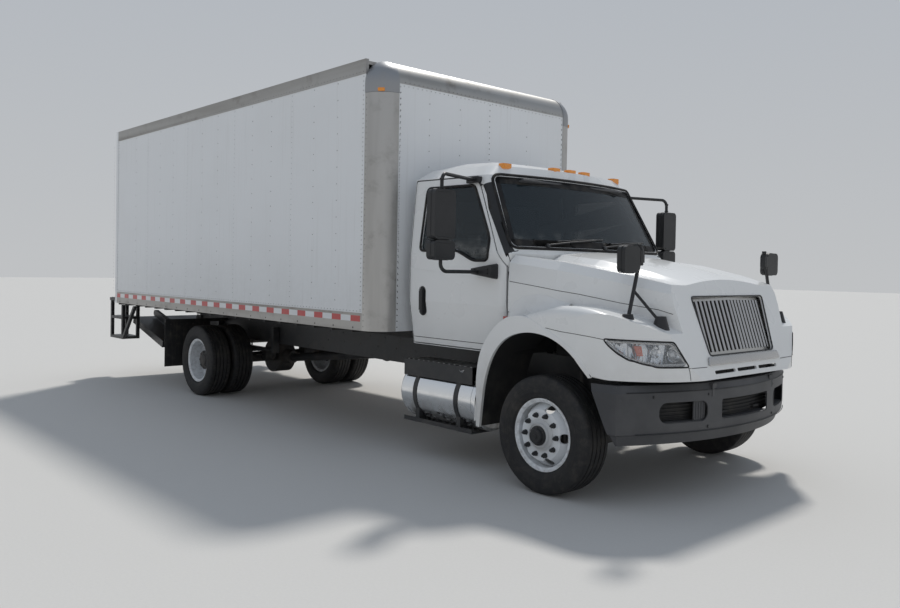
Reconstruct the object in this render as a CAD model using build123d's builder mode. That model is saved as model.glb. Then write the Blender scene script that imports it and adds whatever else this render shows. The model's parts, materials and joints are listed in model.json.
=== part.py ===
from build123d import *
from math import cos, radians, sin
import os

# Box truck, in millimetres: +X forward, +Y to the driver's left, +Z up, on the floor at z = 0.
# The origin is under the middle of the length, so every place along the truck is worked out
# from the front axle, whose own place follows from the three lengths below.

# Overall layout
front_overhang = 920.0
wheelbase = 5540.0
cab_back = 1700.0
box_gap = 73.0
box_length = 6010.0
step_plate_depth = 197.0
rail_setback = 833.0
rear_overhang = cab_back + box_gap + box_length + step_plate_depth - wheelbase
front_axle_x = (front_overhang + wheelbase + rear_overhang) / 2 - front_overhang
rear_axle_x = front_axle_x - wheelbase
rear_end_x = rear_axle_x - rear_overhang
box_front_x = front_axle_x - cab_back - box_gap
box_rear_x = box_front_x - box_length

# Wheels and tyres
tyre_radius = 420.0
tyre_width = 262.0
rim_radius = 260.0
rim_width = 212.0
rim_wall = 9.0
disc_wall = 12.0
disc_flat = 180.0
dual_offset = 148.0
front_offset = 112.0
hub_radius = 110.0
hub_bore = 41.0
spindle_clearance = 1.0
front_tyre_y = 1062.0
dual_plane_y = 872.0
hand_holes = 5
hand_hole_circle = 190.0
axle_z = tyre_radius

# Ladder frame
frame_top = 900.0
rail_height = 257.0
rail_flange = 76.0
rail_wall = 8.0
frame_half_width = 432.0
frame_front_x = front_axle_x + 660.0
rail_rear_x = box_rear_x + rail_setback

# Cab, with lengths measured back from the front axle
cab_front = 500.0
cab_bow = 110.0
cab_floor_z = 930.0
belt_z = 1700.0
roof_line_z = 2330.0
roof_top_z = 2485.0
cab_half_width = 1045.0
cab_wall = 55.0
cab_corner = 90.0
glass_wall = 6.0
glass_inset = 10.0
door_gap = 10.0
seal_gap = 2.0
doorway_inner_y = 870.0
past_the_side = 1200.0

# Hood
hood_wall = 14.0
hood_gap = 16.0
hood_rear = 480.0
hood_low_z = 935.0
fender_low_z = 860.0
nose_reach = 895.0
nose_tilt = 18.0
nose_half_flat = 450.0
nose_corner = 700.0
fender_half_width = 1185.0
fender_edge = 75.0
liner_wall = 8.0
liner_depth = 95.0

# Load box
box_width = 2590.0
box_top = 3380.0
box_skirt_z = 1022.0
box_floor_z = 1115.0
box_wall = 30.0
bottom_rail_height = 153.0
top_rail_height = 130.0
corner_radius = 210.0
rear_post_width = 90.0
rear_post_depth = 65.0
rear_header_height = 250.0
panel_step = 4.0
box_half = box_width / 2

# Bumpers
bumper_top_z = 830.0
bumper_lower_z = 500.0
bumper_bottom_z = 430.0
bumper_half_width = 1170.0
bumper_wall = 8.0
bumper_return = 75.0
valance_step = 28.0
step_height = 560.0
step_top_z = 1090.0
step_tube = 40.0

# Tank
tank_radius = 240.0
tank_length = 920.0
tank_outer_y = 1100.0
tank_z = 530.0
tank_front = 755.0
tank_y = tank_outer_y - tank_radius

# Steering and lift gate
kingpin_y = 900.0
kingpin_radius = 24.0
boss_height = 120.0
boss_radius = 45.0
pin_clearance = 0.5
move_gap = 8.0
gate_half_width = 1000.0
gate_length = 1050.0
gate_thickness = 90.0
gate_slope = 15.0
gate_arm_length = 820.0
gate_pivot_x = rail_rear_x - 50.0
gate_pivot_z = 650.0

pieces = {}


def behind_axle(distance):
    """A place along the truck, given as a distance behind the front axle."""
    return front_axle_x - distance


# Ladder frame: two channel rails joined by crossmembers
crossmember_places = [-600.0, 1500.0, 2600.0, 3800.0, 4900.0, 6100.0, front_axle_x - rail_rear_x - 100]
crossmember_height = 110.0
crossmember_width = 70.0
crossmember_z = frame_top - rail_wall - crossmember_height / 2
with BuildPart() as frame_rails:
    with BuildSketch(Plane.YZ.offset(rail_rear_x)):
        for side in (-1, 1):
            with Locations((side * (frame_half_width - rail_flange / 2), frame_top - rail_height / 2)):
                Rectangle(rail_flange, rail_height)
            with Locations((side * (frame_half_width - rail_wall - rail_flange / 2),
                            frame_top - rail_height / 2)):
                Rectangle(rail_flange, rail_height - 2 * rail_wall, mode=Mode.SUBTRACT)
    extrude(amount=frame_front_x - rail_rear_x)
    for place in crossmember_places:
        with BuildSketch(Plane.XZ.offset(-(frame_half_width - rail_wall))):
            with Locations((behind_axle(place), crossmember_z)):
                Rectangle(crossmember_width, crossmember_height)
            with Locations((behind_axle(place) + rail_wall, crossmember_z)):
                Rectangle(crossmember_width, crossmember_height - 2 * rail_wall, mode=Mode.SUBTRACT)
        extrude(amount=2 * (frame_half_width - rail_wall))
pieces["frame_rails"] = frame_rails.part

# Front axle: a drop beam with a boss at each end for the kingpin and a pad under each spring
beam_depth = 90.0
beam_height = 100.0
beam_drop = 90.0
beam_kink_y = 620.0
spring_pad = 40.0
spring_pad_length = 150.0
rail_middle_y = frame_half_width - rail_flange / 2
with BuildPart() as front_axle:
    beam_low = axle_z - beam_drop - beam_height / 2
    beam_high = axle_z - beam_drop + beam_height / 2
    with BuildSketch(Plane.YZ.offset(front_axle_x - beam_depth / 2)):
        with BuildLine():
            Polyline((-kingpin_y, axle_z - boss_radius), (-beam_kink_y, beam_low), (beam_kink_y, beam_low),
                     (kingpin_y, axle_z - boss_radius), (kingpin_y, axle_z + boss_radius),
                     (beam_kink_y, beam_high), (-beam_kink_y, beam_high), (-kingpin_y, axle_z + boss_radius),
                     close=True)
        make_face()
    extrude(amount=beam_depth)
    with Locations((front_axle_x, 0, axle_z)):
        with GridLocations(0, 2 * kingpin_y, 1, 2):
            Cylinder(boss_radius, boss_height)
            Cylinder(kingpin_radius + pin_clearance, boss_height, mode=Mode.SUBTRACT)
    with Locations((front_axle_x, 0, beam_high + spring_pad / 2)):
        with GridLocations(0, 2 * rail_middle_y, 1, 2):
            Box(spring_pad_length, rail_flange, spring_pad)
front_seat_top = beam_high + spring_pad
pieces["front_axle"] = front_axle.part

# Rear axle: banjo housing with its drive input, tubes, and spindles for the twin wheels
housing_radius = 205.0
housing_half_width = 110.0
tube_radius = 65.0
tube_half_length = 590.0
spindle_radius = hub_bore - spindle_clearance
rear_spring_y = frame_half_width + 50.0
input_radius = 110.0
input_length = 330.0
input_taper = 6.0
spindle_reach = 60.0
rear_pad_length = 170.0
rear_pad_width = 90.0
rear_pad_height = 60.0
with BuildPart() as rear_axle:
    for radius, half_length in (
        (housing_radius, housing_half_width), (tube_radius, tube_half_length),
        (spindle_radius, dual_plane_y + spindle_reach),
    ):
        with BuildSketch(Plane.XZ):
            with Locations((rear_axle_x, axle_z)):
                Circle(radius)
        extrude(amount=half_length, both=True)
    with BuildSketch(Plane.YZ.offset(rear_axle_x)):
        with Locations((0, axle_z)):
            Circle(input_radius)
    extrude(amount=input_length, taper=input_taper)
    with Locations((rear_axle_x, 0, axle_z + tube_radius)):
        with GridLocations(0, 2 * rear_spring_y, 1, 2):
            Box(rear_pad_length, rear_pad_width, rear_pad_height)
rear_seat_top = axle_z + tube_radius + rear_pad_height / 2
pieces["rear_axle"] = rear_axle.part

# Leaf springs: stacked leaves, each shorter than the one above it, with a hanger at each end
leaf_thickness = 16.0
spring_width = 76.0
shortest_leaf = 1.4
hanger_width = 60.0
hanger_gap = 20.0
springs = [
    # place of the axle, y of the spring, seat height, half length, leaves, hanger top
    (front_axle_x, rail_middle_y, front_seat_top, 560.0, 3, frame_top - rail_height),
    (rear_axle_x, rear_spring_y, rear_seat_top, 700.0, 4, frame_top - 60),
]
with BuildPart() as leaf_springs:
    for centre_x, spring_y, seat_z, half_length, leaves, hanger_top in springs:
        for side in (-1, 1):
            with BuildSketch(Plane.XZ.offset(-side * spring_y - spring_width / 2)):
                for leaf in range(leaves):
                    length = 2 * half_length * (leaf + shortest_leaf) / (leaves - 1 + shortest_leaf)
                    with Locations((centre_x, seat_z + leaf_thickness * (leaf + 0.5))):
                        Rectangle(length, leaf_thickness)
                for end in (-1, 1):
                    with Locations((centre_x + end * half_length, (seat_z + hanger_gap + hanger_top) / 2)):
                        Rectangle(hanger_width, hanger_top - seat_z - hanger_gap)
            extrude(amount=spring_width)
pieces["leaf_springs"] = leaf_springs.part

# Drive shaft: two tubes with a joint between them
shaft_radius = 50.0
gearbox_rear_x = behind_axle(1350.0)
shaft_front_gap = 3.0
shaft_rear_gap = 10.0
shaft_joint_radius = 85.0
shaft_front_x = gearbox_rear_x - shaft_front_gap
shaft_rear_x = rear_axle_x + input_length + shaft_rear_gap
shaft_middle_x = (shaft_front_x + shaft_rear_x) / 2
shaft_front_z = 700.0
shaft_middle_z = 640.0
with BuildPart() as driveshaft:
    for start_x, start_z, end_x, end_z in (
        (shaft_front_x, shaft_front_z, shaft_middle_x, shaft_middle_z),
        (shaft_middle_x, shaft_middle_z, shaft_rear_x, axle_z),
    ):
        start = Vector(start_x, 0, start_z)
        run = Vector(end_x, 0, end_z) - start
        with BuildSketch(Plane(origin=start, z_dir=run)):
            Circle(shaft_radius)
        extrude(amount=run.length)
    with Locations((shaft_middle_x, 0, shaft_middle_z)):
        Sphere(shaft_joint_radius)
pieces["driveshaft"] = driveshaft.part

# Engine and gearbox as one plain block, with the radiator in front of it
engine_length = 820.0
engine_x = front_axle_x + 10.0
engine_z = 1050.0
engine_width = 600.0
engine_height = 640.0
gearbox_front_z = 790.0
gearbox_rear_z = shaft_front_z + 20
gearbox_front_size = (420.0, 240.0)
gearbox_rear_size = (200.0, 220.0)
with BuildPart() as engine_block:
    with Locations((engine_x, 0, engine_z)):
        Box(engine_length, engine_width, engine_height)
    with BuildSketch(Plane.YZ.offset(engine_x - engine_length / 2)):
        with Locations((0, gearbox_front_z)):
            Rectangle(*gearbox_front_size)
    with BuildSketch(Plane.YZ.offset(gearbox_rear_x)):
        with Locations((0, gearbox_rear_z)):
            Rectangle(*gearbox_rear_size)
    loft()
pieces["engine_block"] = engine_block.part

radiator_x = front_axle_x + 480.0
radiator_width = 640.0
radiator_height = 600.0
radiator_core = 60.0
radiator_tank = (90.0, 60.0, 640.0)
with BuildPart() as radiator:
    with Locations((radiator_x, 0, engine_z)):
        Box(radiator_core, radiator_width, radiator_height)
        with GridLocations(0, radiator_width, 1, 2):
            Box(*radiator_tank)
pieces["radiator"] = radiator.part


# Cab: plan sections lofted into a body with a bowed front, barrel sides and a crowned roof
def cab_plan(z, half_width, front_half_width, back, front, bow, inset):
    """Plan section of the cab: flat back, sides that may close in, a front that bows forward."""
    with BuildSketch(Plane.XY.offset(z)) as plan:
        with BuildLine():
            back_x = behind_axle(back) + inset
            front_x = behind_axle(front) - inset
            side_y = half_width - inset
            front_y = front_half_width - inset
            Polyline((front_x, -front_y), (back_x, -side_y), (back_x, side_y), (front_x, front_y))
            ThreePointArc((front_x, front_y), (front_x + bow, 0), (front_x, -front_y))
        make_face()
        fillet(plan.vertices(), radius=cab_corner - inset / 2)
    return plan.sketch


def cab_body(inset):
    """The whole cab as one solid, drawn in by an inset on every side."""
    wide = cab_half_width
    with BuildPart() as body:
        for section in (
            # height, half width, half width at the front, back and front behind the axle, bow
            (cab_floor_z + inset, wide - 60, wide - 60, cab_back, cab_front, 20),
            (1300, wide, wide, cab_back, cab_front, 70),
            (belt_z, wide, wide, cab_back, cab_front, cab_bow),
            (roof_line_z - inset / 4, wide - 45, wide - 120, cab_back - 10, cab_front + 320, cab_bow + 20),
            (roof_top_z - 72 - inset / 2, wide - 165, wide - 225, cab_back - 70, cab_front + 360, cab_bow + 20),
            (roof_top_z - inset, wide - 400, wide - 480, cab_back - 220, cab_front + 620, cab_bow - 40),
        ):
            add(cab_plan(*section, inset))
        loft(ruled=True)
    return body.part


# Outlines seen from the side, as distances behind the front axle and heights
door_outline = [(1640, 945), (1625, 2315), (930, 2315), (605, 1715), (515, 1600), (515, 1215), (735, 945)]
window_outline = [(1500, 1735), (1470, 2240), (960, 2240), (705, 1830), (705, 1655), (875, 1655), (1060, 1735)]


def side_prism(outline, grow, inner_y, outer_y, side):
    """A block standing on a side outline, from inner_y to outer_y on one side of the truck."""
    with BuildPart() as prism:
        with BuildSketch(Plane.XZ.offset(-side * inner_y)) as face:
            with BuildLine():
                Polyline(*[(behind_axle(back), z) for back, z in outline], close=True)
            make_face()
            if grow:
                offset(amount=grow, kind=Kind.INTERSECTION)
            fillet(face.vertices(), radius=25)
        extrude(amount=-side * (outer_y - inner_y))
    return prism.part


windshield_low = 1760.0
windshield_high = 2320.0
windshield_half_low = 970.0
windshield_half_high = 885.0
windshield_corner = 50.0
with BuildPart() as windshield_prism:
    with BuildSketch(Plane.YZ.offset(behind_axle(1100))) as face:
        with BuildLine():
            Polyline((-windshield_half_low, windshield_low), (-windshield_half_high, windshield_high),
                     (windshield_half_high, windshield_high), (windshield_half_low, windshield_low), close=True)
        make_face()
        fillet(face.vertices(), radius=windshield_corner)
    extrude(amount=900)

rear_window_z = 1980.0
rear_window_width = 1200.0
rear_window_height = 420.0
rear_window_corner = 60.0
with BuildPart() as rear_window_prism:
    with BuildSketch(Plane.YZ.offset(behind_axle(cab_back + 50))) as face:
        with Locations((0, rear_window_z)):
            RectangleRounded(rear_window_width, rear_window_height, rear_window_corner)
    extrude(amount=250)

cab_mount_length = 90.0
cab_mount_spread = 900.0
cab_mount_x = behind_axle((cab_back + cab_front) / 2)
cab_outer = cab_body(0)
cab_inner = cab_body(cab_wall)
mount_height = cab_floor_z - frame_top
doorways = [side_prism(door_outline, door_gap, doorway_inner_y - door_gap, past_the_side, side) for side in (-1, 1)]
with BuildPart() as cab_shell:
    add(cab_outer)
    add(doorways, mode=Mode.SUBTRACT)
    add(cab_inner, mode=Mode.SUBTRACT)
    add(windshield_prism.part, mode=Mode.SUBTRACT)
    add(rear_window_prism.part, mode=Mode.SUBTRACT)
    with Locations((cab_mount_x, 0, frame_top + mount_height / 2)):
        with GridLocations(cab_mount_spread, 2 * rail_middle_y, 2, 2):
            Box(cab_mount_length, rail_flange, mount_height)
pieces["cab_shell"] = cab_shell.part

glass_outer = cab_body(glass_inset)
glass_inner = cab_body(glass_inset + glass_wall)
with BuildPart() as cab_glass:
    add(windshield_prism.part)
    add(rear_window_prism.part)
    add(glass_outer, mode=Mode.INTERSECT)
    add(glass_inner, mode=Mode.SUBTRACT)
pieces["cab_glass"] = cab_glass.part

# Door handle: an upright grip over an oval recess
handle_z = 1302.0
handle_x = behind_axle(1470)
handle_height = 250.0
handle_width = 92.0
handle_recess = 14.0
handle_edge = 2.0
handle_base = 5.0
grip_width = 40.0
grip_inset = 15.0
grip_proud = 17.0
grip_taper = 12.0
with BuildPart() as handle_pocket:
    with BuildSketch(Plane.XZ.offset(cab_half_width - handle_recess)):
        with Locations((handle_x, handle_z)):
            SlotOverall(handle_height, handle_width, rotation=90)
    extrude(amount=100)
with BuildPart() as door_handle_right:
    with BuildSketch(Plane.XZ.offset(cab_half_width - handle_recess)):
        with Locations((handle_x, handle_z)):
            SlotOverall(handle_height - 2 * handle_edge, handle_width - 2 * handle_edge, rotation=90)
    extrude(amount=handle_base)
    with BuildSketch(Plane.XZ.offset(cab_half_width - handle_recess + handle_base)):
        with Locations((handle_x, handle_z)):
            SlotOverall(handle_height - 2 * grip_inset, grip_width, rotation=90)
    extrude(amount=handle_recess - handle_base + grip_proud, taper=grip_taper)

# Doors, with their glass, built on the right and mirrored to the left
door_prism = side_prism(door_outline, 0, doorway_inner_y, past_the_side, -1)
glass_prism = side_prism(window_outline, 0, doorway_inner_y - door_gap, past_the_side, -1)
window_prism = side_prism(window_outline, seal_gap, doorway_inner_y - door_gap, past_the_side, -1)
with BuildPart() as door_cutter:
    add(door_prism)
    add(window_prism, mode=Mode.SUBTRACT)
with BuildPart() as door_right:
    add(cab_outer)
    add(cab_inner, mode=Mode.SUBTRACT)
    add(door_cutter.part, mode=Mode.INTERSECT)
    add(handle_pocket.part, mode=Mode.SUBTRACT)
with BuildPart() as door_glass_right:
    add(glass_prism)
    add(glass_outer, mode=Mode.INTERSECT)
    add(glass_inner, mode=Mode.SUBTRACT)

# Door mirror: a tall head and a low convex head on two arms, with a wedge bracket under the lower one
mirror_x = behind_axle(760)
mirror_y = -1474.0
mirror_width = 208.0
mirror_heads = [
    # middle height, height, depth
    (1978.0, 370.0, 90.0),
    (1714.0, 146.0, 90.0),
]
mirror_rounding = 36.0
mirror_neck = (40.0, 80.0, 60.0)
mirror_neck_z = 1790.0
mirror_arm_radius = 14.0
mirror_arm_bend = 60.0
arm_bracket = (130.0, 50.0, 50.0)
wedge_depth = 70.0
wedge_taper = 8.0
upper_arm_foot = (behind_axle(950), -968.0, 2290.0)
lower_arm_foot = (behind_axle(740), -cab_half_width - 45, 1555.0)
with BuildPart() as door_mirror_right:
    for middle_z, height, depth in mirror_heads:
        with BuildSketch(Plane.YZ.offset(mirror_x - depth / 2)):
            with Locations((mirror_y, middle_z)):
                RectangleRounded(mirror_width, height, mirror_rounding)
        extrude(amount=depth)
    with Locations((mirror_x, mirror_y, mirror_neck_z)):
        Box(*mirror_neck)
    for foot, bend_z, end_z in ((upper_arm_foot, 2285.0, 2100.0), (lower_arm_foot, 1555.0, 1680.0)):
        with BuildLine() as route:
            FilletPolyline(foot, (mirror_x, mirror_y, bend_z), (mirror_x, mirror_y, end_z),
                           radius=mirror_arm_bend)
        with BuildSketch(Plane(origin=route.line @ 0, z_dir=route.line % 0)):
            Circle(mirror_arm_radius)
        sweep(path=route.line)
    with Locations((upper_arm_foot[0], upper_arm_foot[1] + 5, upper_arm_foot[2])):
        Box(*arm_bracket)
    with BuildSketch(Plane.XZ.offset(cab_half_width)) as wedge:
        with BuildLine():
            Polyline((behind_axle(820), 1590), (behind_axle(820), 1530), (behind_axle(580), 1500),
                     (behind_axle(580), 1625), close=True)
        make_face()
        fillet(wedge.vertices(), radius=18)
    extrude(amount=wedge_depth, taper=wedge_taper)
    add(cab_outer, mode=Mode.SUBTRACT)

for name, right in (
    ("door", door_right), ("door_glass", door_glass_right), ("door_mirror", door_mirror_right),
    ("door_handle", door_handle_right),
):
    with BuildPart() as left:
        mirror(right.part, about=Plane.XZ)
    pieces[f"{name}_right"] = right.part
    pieces[f"{name}_left"] = left.part

# Inside of the cab: seats, steering wheel, dashboard
seat_places = [(480.0, 480.0), (-420.0, 760.0)]
seat_outline = [(1480, 985), (960, 985), (920, 1370), (940, 1420),
                (1390, 1400), (1480, 1990), (1600, 1990), (1540, 1330)]
with BuildPart() as seats:
    for seat_y, seat_width in seat_places:
        with BuildSketch(Plane.XZ.offset(-seat_y - seat_width / 2)):
            with BuildLine():
                Polyline(*[(behind_axle(back), z) for back, z in seat_outline], close=True)
            make_face()
        extrude(amount=seat_width)
pieces["seats"] = seats.part

wheel_tilt = 35.0
steering_radius = 205.0
steering_grip = 16.0
steering_boss = 55.0
spoke_width = 36.0
spoke_depth = 18.0
column_radius = 24.0
column_length = 170.0
column_start = Vector(behind_axle(850), seat_places[0][0], 1500)
column_run = Vector(-cos(radians(wheel_tilt)), 0, sin(radians(wheel_tilt)))
with BuildPart() as steering_wheel:
    wheel_plane = Plane(origin=column_start + column_run * column_length, x_dir=(0, 1, 0), z_dir=column_run)
    with BuildSketch(wheel_plane):
        Circle(steering_boss)
        with PolarLocations((steering_radius - 5) / 2, 3, start_angle=90):
            Rectangle(steering_radius - 5, spoke_width)
    extrude(amount=spoke_depth)
    rim_place = wheel_plane.origin + wheel_plane.x_dir * steering_radius + column_run * spoke_depth / 2
    with BuildSketch(Plane(origin=rim_place, x_dir=wheel_plane.x_dir, z_dir=wheel_plane.x_dir.cross(column_run))):
        Circle(steering_grip)
    revolve(axis=Axis(wheel_plane.origin, column_run), revolution_arc=360)
    with BuildSketch(Plane(origin=column_start, x_dir=(0, 1, 0), z_dir=column_run)):
        Circle(column_radius)
    extrude(amount=column_length + 2)
pieces["steering_wheel"] = steering_wheel.part

dash_half_width = 845.0
with BuildPart() as dashboard:
    with BuildSketch(Plane.XZ.offset(-dash_half_width)):
        with BuildLine():
            Polyline((behind_axle(560), 1250), (behind_axle(560), 1660), (behind_axle(720), 1640),
                     (behind_axle(860), 1500), (behind_axle(830), 1330), (behind_axle(700), 1250), close=True)
        make_face()
    extrude(amount=2 * dash_half_width)
    add(steering_wheel.part, mode=Mode.SUBTRACT)
pieces["dashboard"] = dashboard.part


# Hood: a bonnet lofted along the truck and two fenders, shelled, with arches and openings cut out
nose_plane = Plane(origin=(behind_axle(-nose_reach), 0, hood_low_z), x_dir=(0, 1, 0),
                   z_dir=(cos(radians(nose_tilt)), 0, sin(radians(nose_tilt))))
bonnet_stations = [
    # behind the axle, side y, shoulder y, edge of the hump y, crease z, shoulder z, valley z, hump z
    (hood_rear, 1035, 975, 520, 1490, 1690, 1668, 1740),
    (30, 1015, 950, 500, 1440, 1640, 1622, 1695),
    (-420, 880, 815, 470, 1390, 1560, 1550, 1605),
    (-960, 640, 590, 430, 1320, 1440, 1441, 1465),
]


def bonnet_section(station, low, inset):
    """Half of the bonnet's section, mirrored: side, crease, shoulder, valley and central hump."""
    distance, side_y, shoulder_y, hump_y, crease_z, shoulder_z, valley_z, hump_z = station
    side_y -= inset
    shoulder_y -= inset
    outline = [(side_y, low), (side_y, crease_z), (side_y - 12, shoulder_z - 60 - inset),
               (shoulder_y, shoulder_z - inset), (hump_y + 80, valley_z - inset), (hump_y, hump_z - 30 - inset)]
    with BuildSketch(Plane.YZ.offset(behind_axle(distance))) as section:
        with BuildLine():
            Polyline(*outline)
            ThreePointArc(outline[-1], (0, hump_z - inset), (-hump_y, hump_z - 30 - inset))
            Polyline(*[(-y, z) for y, z in reversed(outline)], outline[0])
        make_face()
    return section.sketch


def hood_body(inset):
    """Bonnet and fenders as one solid, drawn in by an inset and then open below and behind."""
    open_by = 300 if inset else 0
    low = hood_low_z - open_by
    with BuildPart() as bonnet:
        if inset:
            add(bonnet_section((hood_rear + open_by, *bonnet_stations[0][1:]), low, inset))
        for station in bonnet_stations:
            add(bonnet_section(station, low, inset))
        loft(ruled=True)
    side_y = fender_half_width - inset
    nose_x = behind_axle(-nose_reach - 30 + inset)
    corner_x = behind_axle(-300)
    past_nose = behind_axle(-nose_reach - 60)
    fender_low = fender_low_z - open_by
    with BuildPart() as fenders:
        with BuildSketch(Plane.XZ.offset(-side_y)):
            with BuildLine():
                rear_top = (behind_axle(330 + open_by), 1225 - inset)
                blister = (behind_axle(-250), 1335 - inset)
                front_top = (past_nose, 1085 - inset)
                Polyline(rear_top, (behind_axle(515 + open_by), 1085 - inset), (behind_axle(650 + open_by), 735),
                         (behind_axle(670 + open_by), 420 - open_by), (behind_axle(-390), fender_low),
                         (past_nose, fender_low), front_top)
                ThreePointArc(front_top, blister, rear_top)
            make_face()
        extrude(amount=2 * side_y)
        edges = fenders.faces().filter_by(Axis.Y).edges()
        fillet(edges.filter_by_position(Axis.Z, 740, 1400), radius=fender_edge - inset)
        with BuildSketch(Plane.XY):
            with BuildLine():
                Polyline((corner_x, -side_y), (behind_axle(1000), -side_y), (behind_axle(1000), side_y),
                         (corner_x, side_y))
                RadiusArc((corner_x, side_y), (nose_x, nose_half_flat), nose_corner - inset)
                Line((nose_x, nose_half_flat), (nose_x, -nose_half_flat))
                RadiusArc((nose_x, -nose_half_flat), (corner_x, -side_y), nose_corner - inset)
            make_face()
        extrude(amount=2000, mode=Mode.INTERSECT)
    with BuildPart() as whole:
        add(bonnet.part)
        add(fenders.part)
    return whole.part


# What is cut through the hood: arches, the grille opening, the lamps and the slots under the grille
arch_outline = [(625, 380), (590, 740), (455, 1040), (260, 1150),
                (20, 1150), (-230, 1050), (-410, 850), (-420, 380)]


def arch_prism(grow, half_width):
    """A block across the truck on the outline of the wheel arch."""
    with BuildPart() as prism:
        with BuildSketch(Plane.XZ.offset(-half_width)) as face:
            with BuildLine():
                Polyline(*[(behind_axle(back), z) for back, z in arch_outline], close=True)
            make_face()
            if grow:
                offset(amount=grow, kind=Kind.INTERSECTION)
            fillet(face.vertices().group_by(Axis.Y)[2:], radius=90)
        extrude(amount=2 * half_width)
    return prism.part


grille_low = 86.0
grille_high = 500.0
grille_half_low = 445.0
grille_half_top = 495.0
grille_depth = 45.0
with BuildPart() as grille_prism:
    with BuildSketch(nose_plane.offset(-150)) as face:
        with BuildLine():
            Polyline((-grille_half_low, grille_low), (-grille_half_top, grille_high),
                     (grille_half_top, grille_high), (grille_half_low, grille_low), close=True)
        make_face()
        fillet(face.vertices(), radius=25)
    extrude(amount=260)

slot_z = 903.0
slot_height = 24.0
slot_half_width = 450.0
slot_count = 3
with BuildPart() as lip_slots:
    with BuildSketch(Plane.YZ.offset(behind_axle(-nose_reach + 120))):
        with Locations((0, slot_z)):
            with GridLocations(2 * slot_half_width / slot_count, 0, slot_count, 1):
                SlotOverall(2 * slot_half_width / slot_count - 28, slot_height)
    extrude(amount=300)

# Lamp outline on a plane that faces outward at 45 degrees: (reach outboard and back, height)
lamp_plane = Plane(origin=(front_axle_x, 0, 0), x_dir=(-1, 1, 0), z_dir=(1, 1, 0))
with BuildPart() as lamp_prisms:
    with BuildSketch(lamp_plane.offset(800)) as face:
        with BuildLine():
            Polyline((100, 960), (-105, 960), (5, 1118), (450, 1128))
            ThreePointArc((450, 1128), (300, 1005), (100, 960))
        make_face()
        fillet(face.vertices().group_by(Axis.X)[0], radius=22)
        fillet(face.vertices().sort_by(Axis.X)[-1], radius=12)
    extrude(amount=700)
    mirror(about=Plane.XZ)

hood_outer = hood_body(0)
cowl_clearance = cab_body(-hood_gap)
hood_inner = split(hood_body(hood_wall), bisect_by=nose_plane.offset(-hood_wall), keep=Keep.BOTTOM)
hood_cuts = [arch_prism(0, past_the_side), grille_prism.part, lip_slots.part, lamp_prisms.part, cowl_clearance]
with BuildPart() as hood:
    add(hood_outer)
    split(bisect_by=nose_plane, keep=Keep.BOTTOM)
    add(hood_inner, mode=Mode.SUBTRACT)
    add(hood_cuts, mode=Mode.SUBTRACT)
pieces["hood"] = hood.part

# Fender liners: bands round the wheel arches, inboard of the fenders and clear of the cab when the hood tilts
liner_inner_y = 640.0
liner_outer_y = fender_half_width - hood_wall - 2
with BuildPart() as fender_liners:
    add(arch_prism(liner_depth, liner_outer_y))
    add(arch_prism(liner_depth - liner_wall, past_the_side), mode=Mode.SUBTRACT)
    with Locations((front_axle_x, 0, fender_low_z)):
        Box(3000, 2 * liner_inner_y, 3000, mode=Mode.SUBTRACT)
    with Locations((front_axle_x, 0, fender_low_z - 10)):
        Box(3000, 3000, 1000, align=(Align.CENTER, Align.CENTER, Align.MAX), mode=Mode.SUBTRACT)
    with Locations((behind_axle(390), 0, fender_low_z)):
        Box(1000, 2 * (cab_half_width + hood_gap), 3000, align=(Align.MAX, Align.CENTER, Align.CENTER),
            mode=Mode.SUBTRACT)
    add(hood_inner, mode=Mode.INTERSECT)
pieces["fender_liners"] = fender_liners.part

# Headlamps: they follow the corners of the hood beside the grille
lamp_depth = 70.0
lamp_gap = 3.0
with BuildPart() as headlamps:
    add(lamp_prisms.part)
    add(hood_body(lamp_gap), mode=Mode.INTERSECT)
    split(bisect_by=nose_plane.offset(-lamp_gap), keep=Keep.BOTTOM)
    add(hood_body(lamp_depth), mode=Mode.SUBTRACT)
pieces["headlamps"] = headlamps.part

# Grille: a panel that comes to a ridge in the middle, with slots between its bars
bar_pitch = 50.0
bar_count = 18
slot_width = 20.0
frame_height = 24.0
ridge = 28.0
with BuildPart() as grille:
    with BuildSketch(Plane(origin=nose_plane.origin + nose_plane.y_dir * grille_low, x_dir=(0, 1, 0),
                           z_dir=nose_plane.y_dir)):
        with BuildLine():
            Polyline((-grille_half_top, grille_depth + ridge), (0, grille_depth),
                     (grille_half_top, grille_depth + ridge), (grille_half_top, ridge + 5), (0, 5),
                     (-grille_half_top, ridge + 5), close=True)
        make_face()
    extrude(amount=grille_high - grille_low)
    with BuildSketch(nose_plane.offset(-150)):
        with Locations((0, (grille_low + grille_high) / 2)):
            with GridLocations(bar_pitch, 0, bar_count, 1):
                Rectangle(slot_width, grille_high - grille_low - 2 * frame_height)
    extrude(amount=300, mode=Mode.SUBTRACT)
    add(grille_prism.part, mode=Mode.INTERSECT)
pieces["grille"] = grille.part

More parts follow.
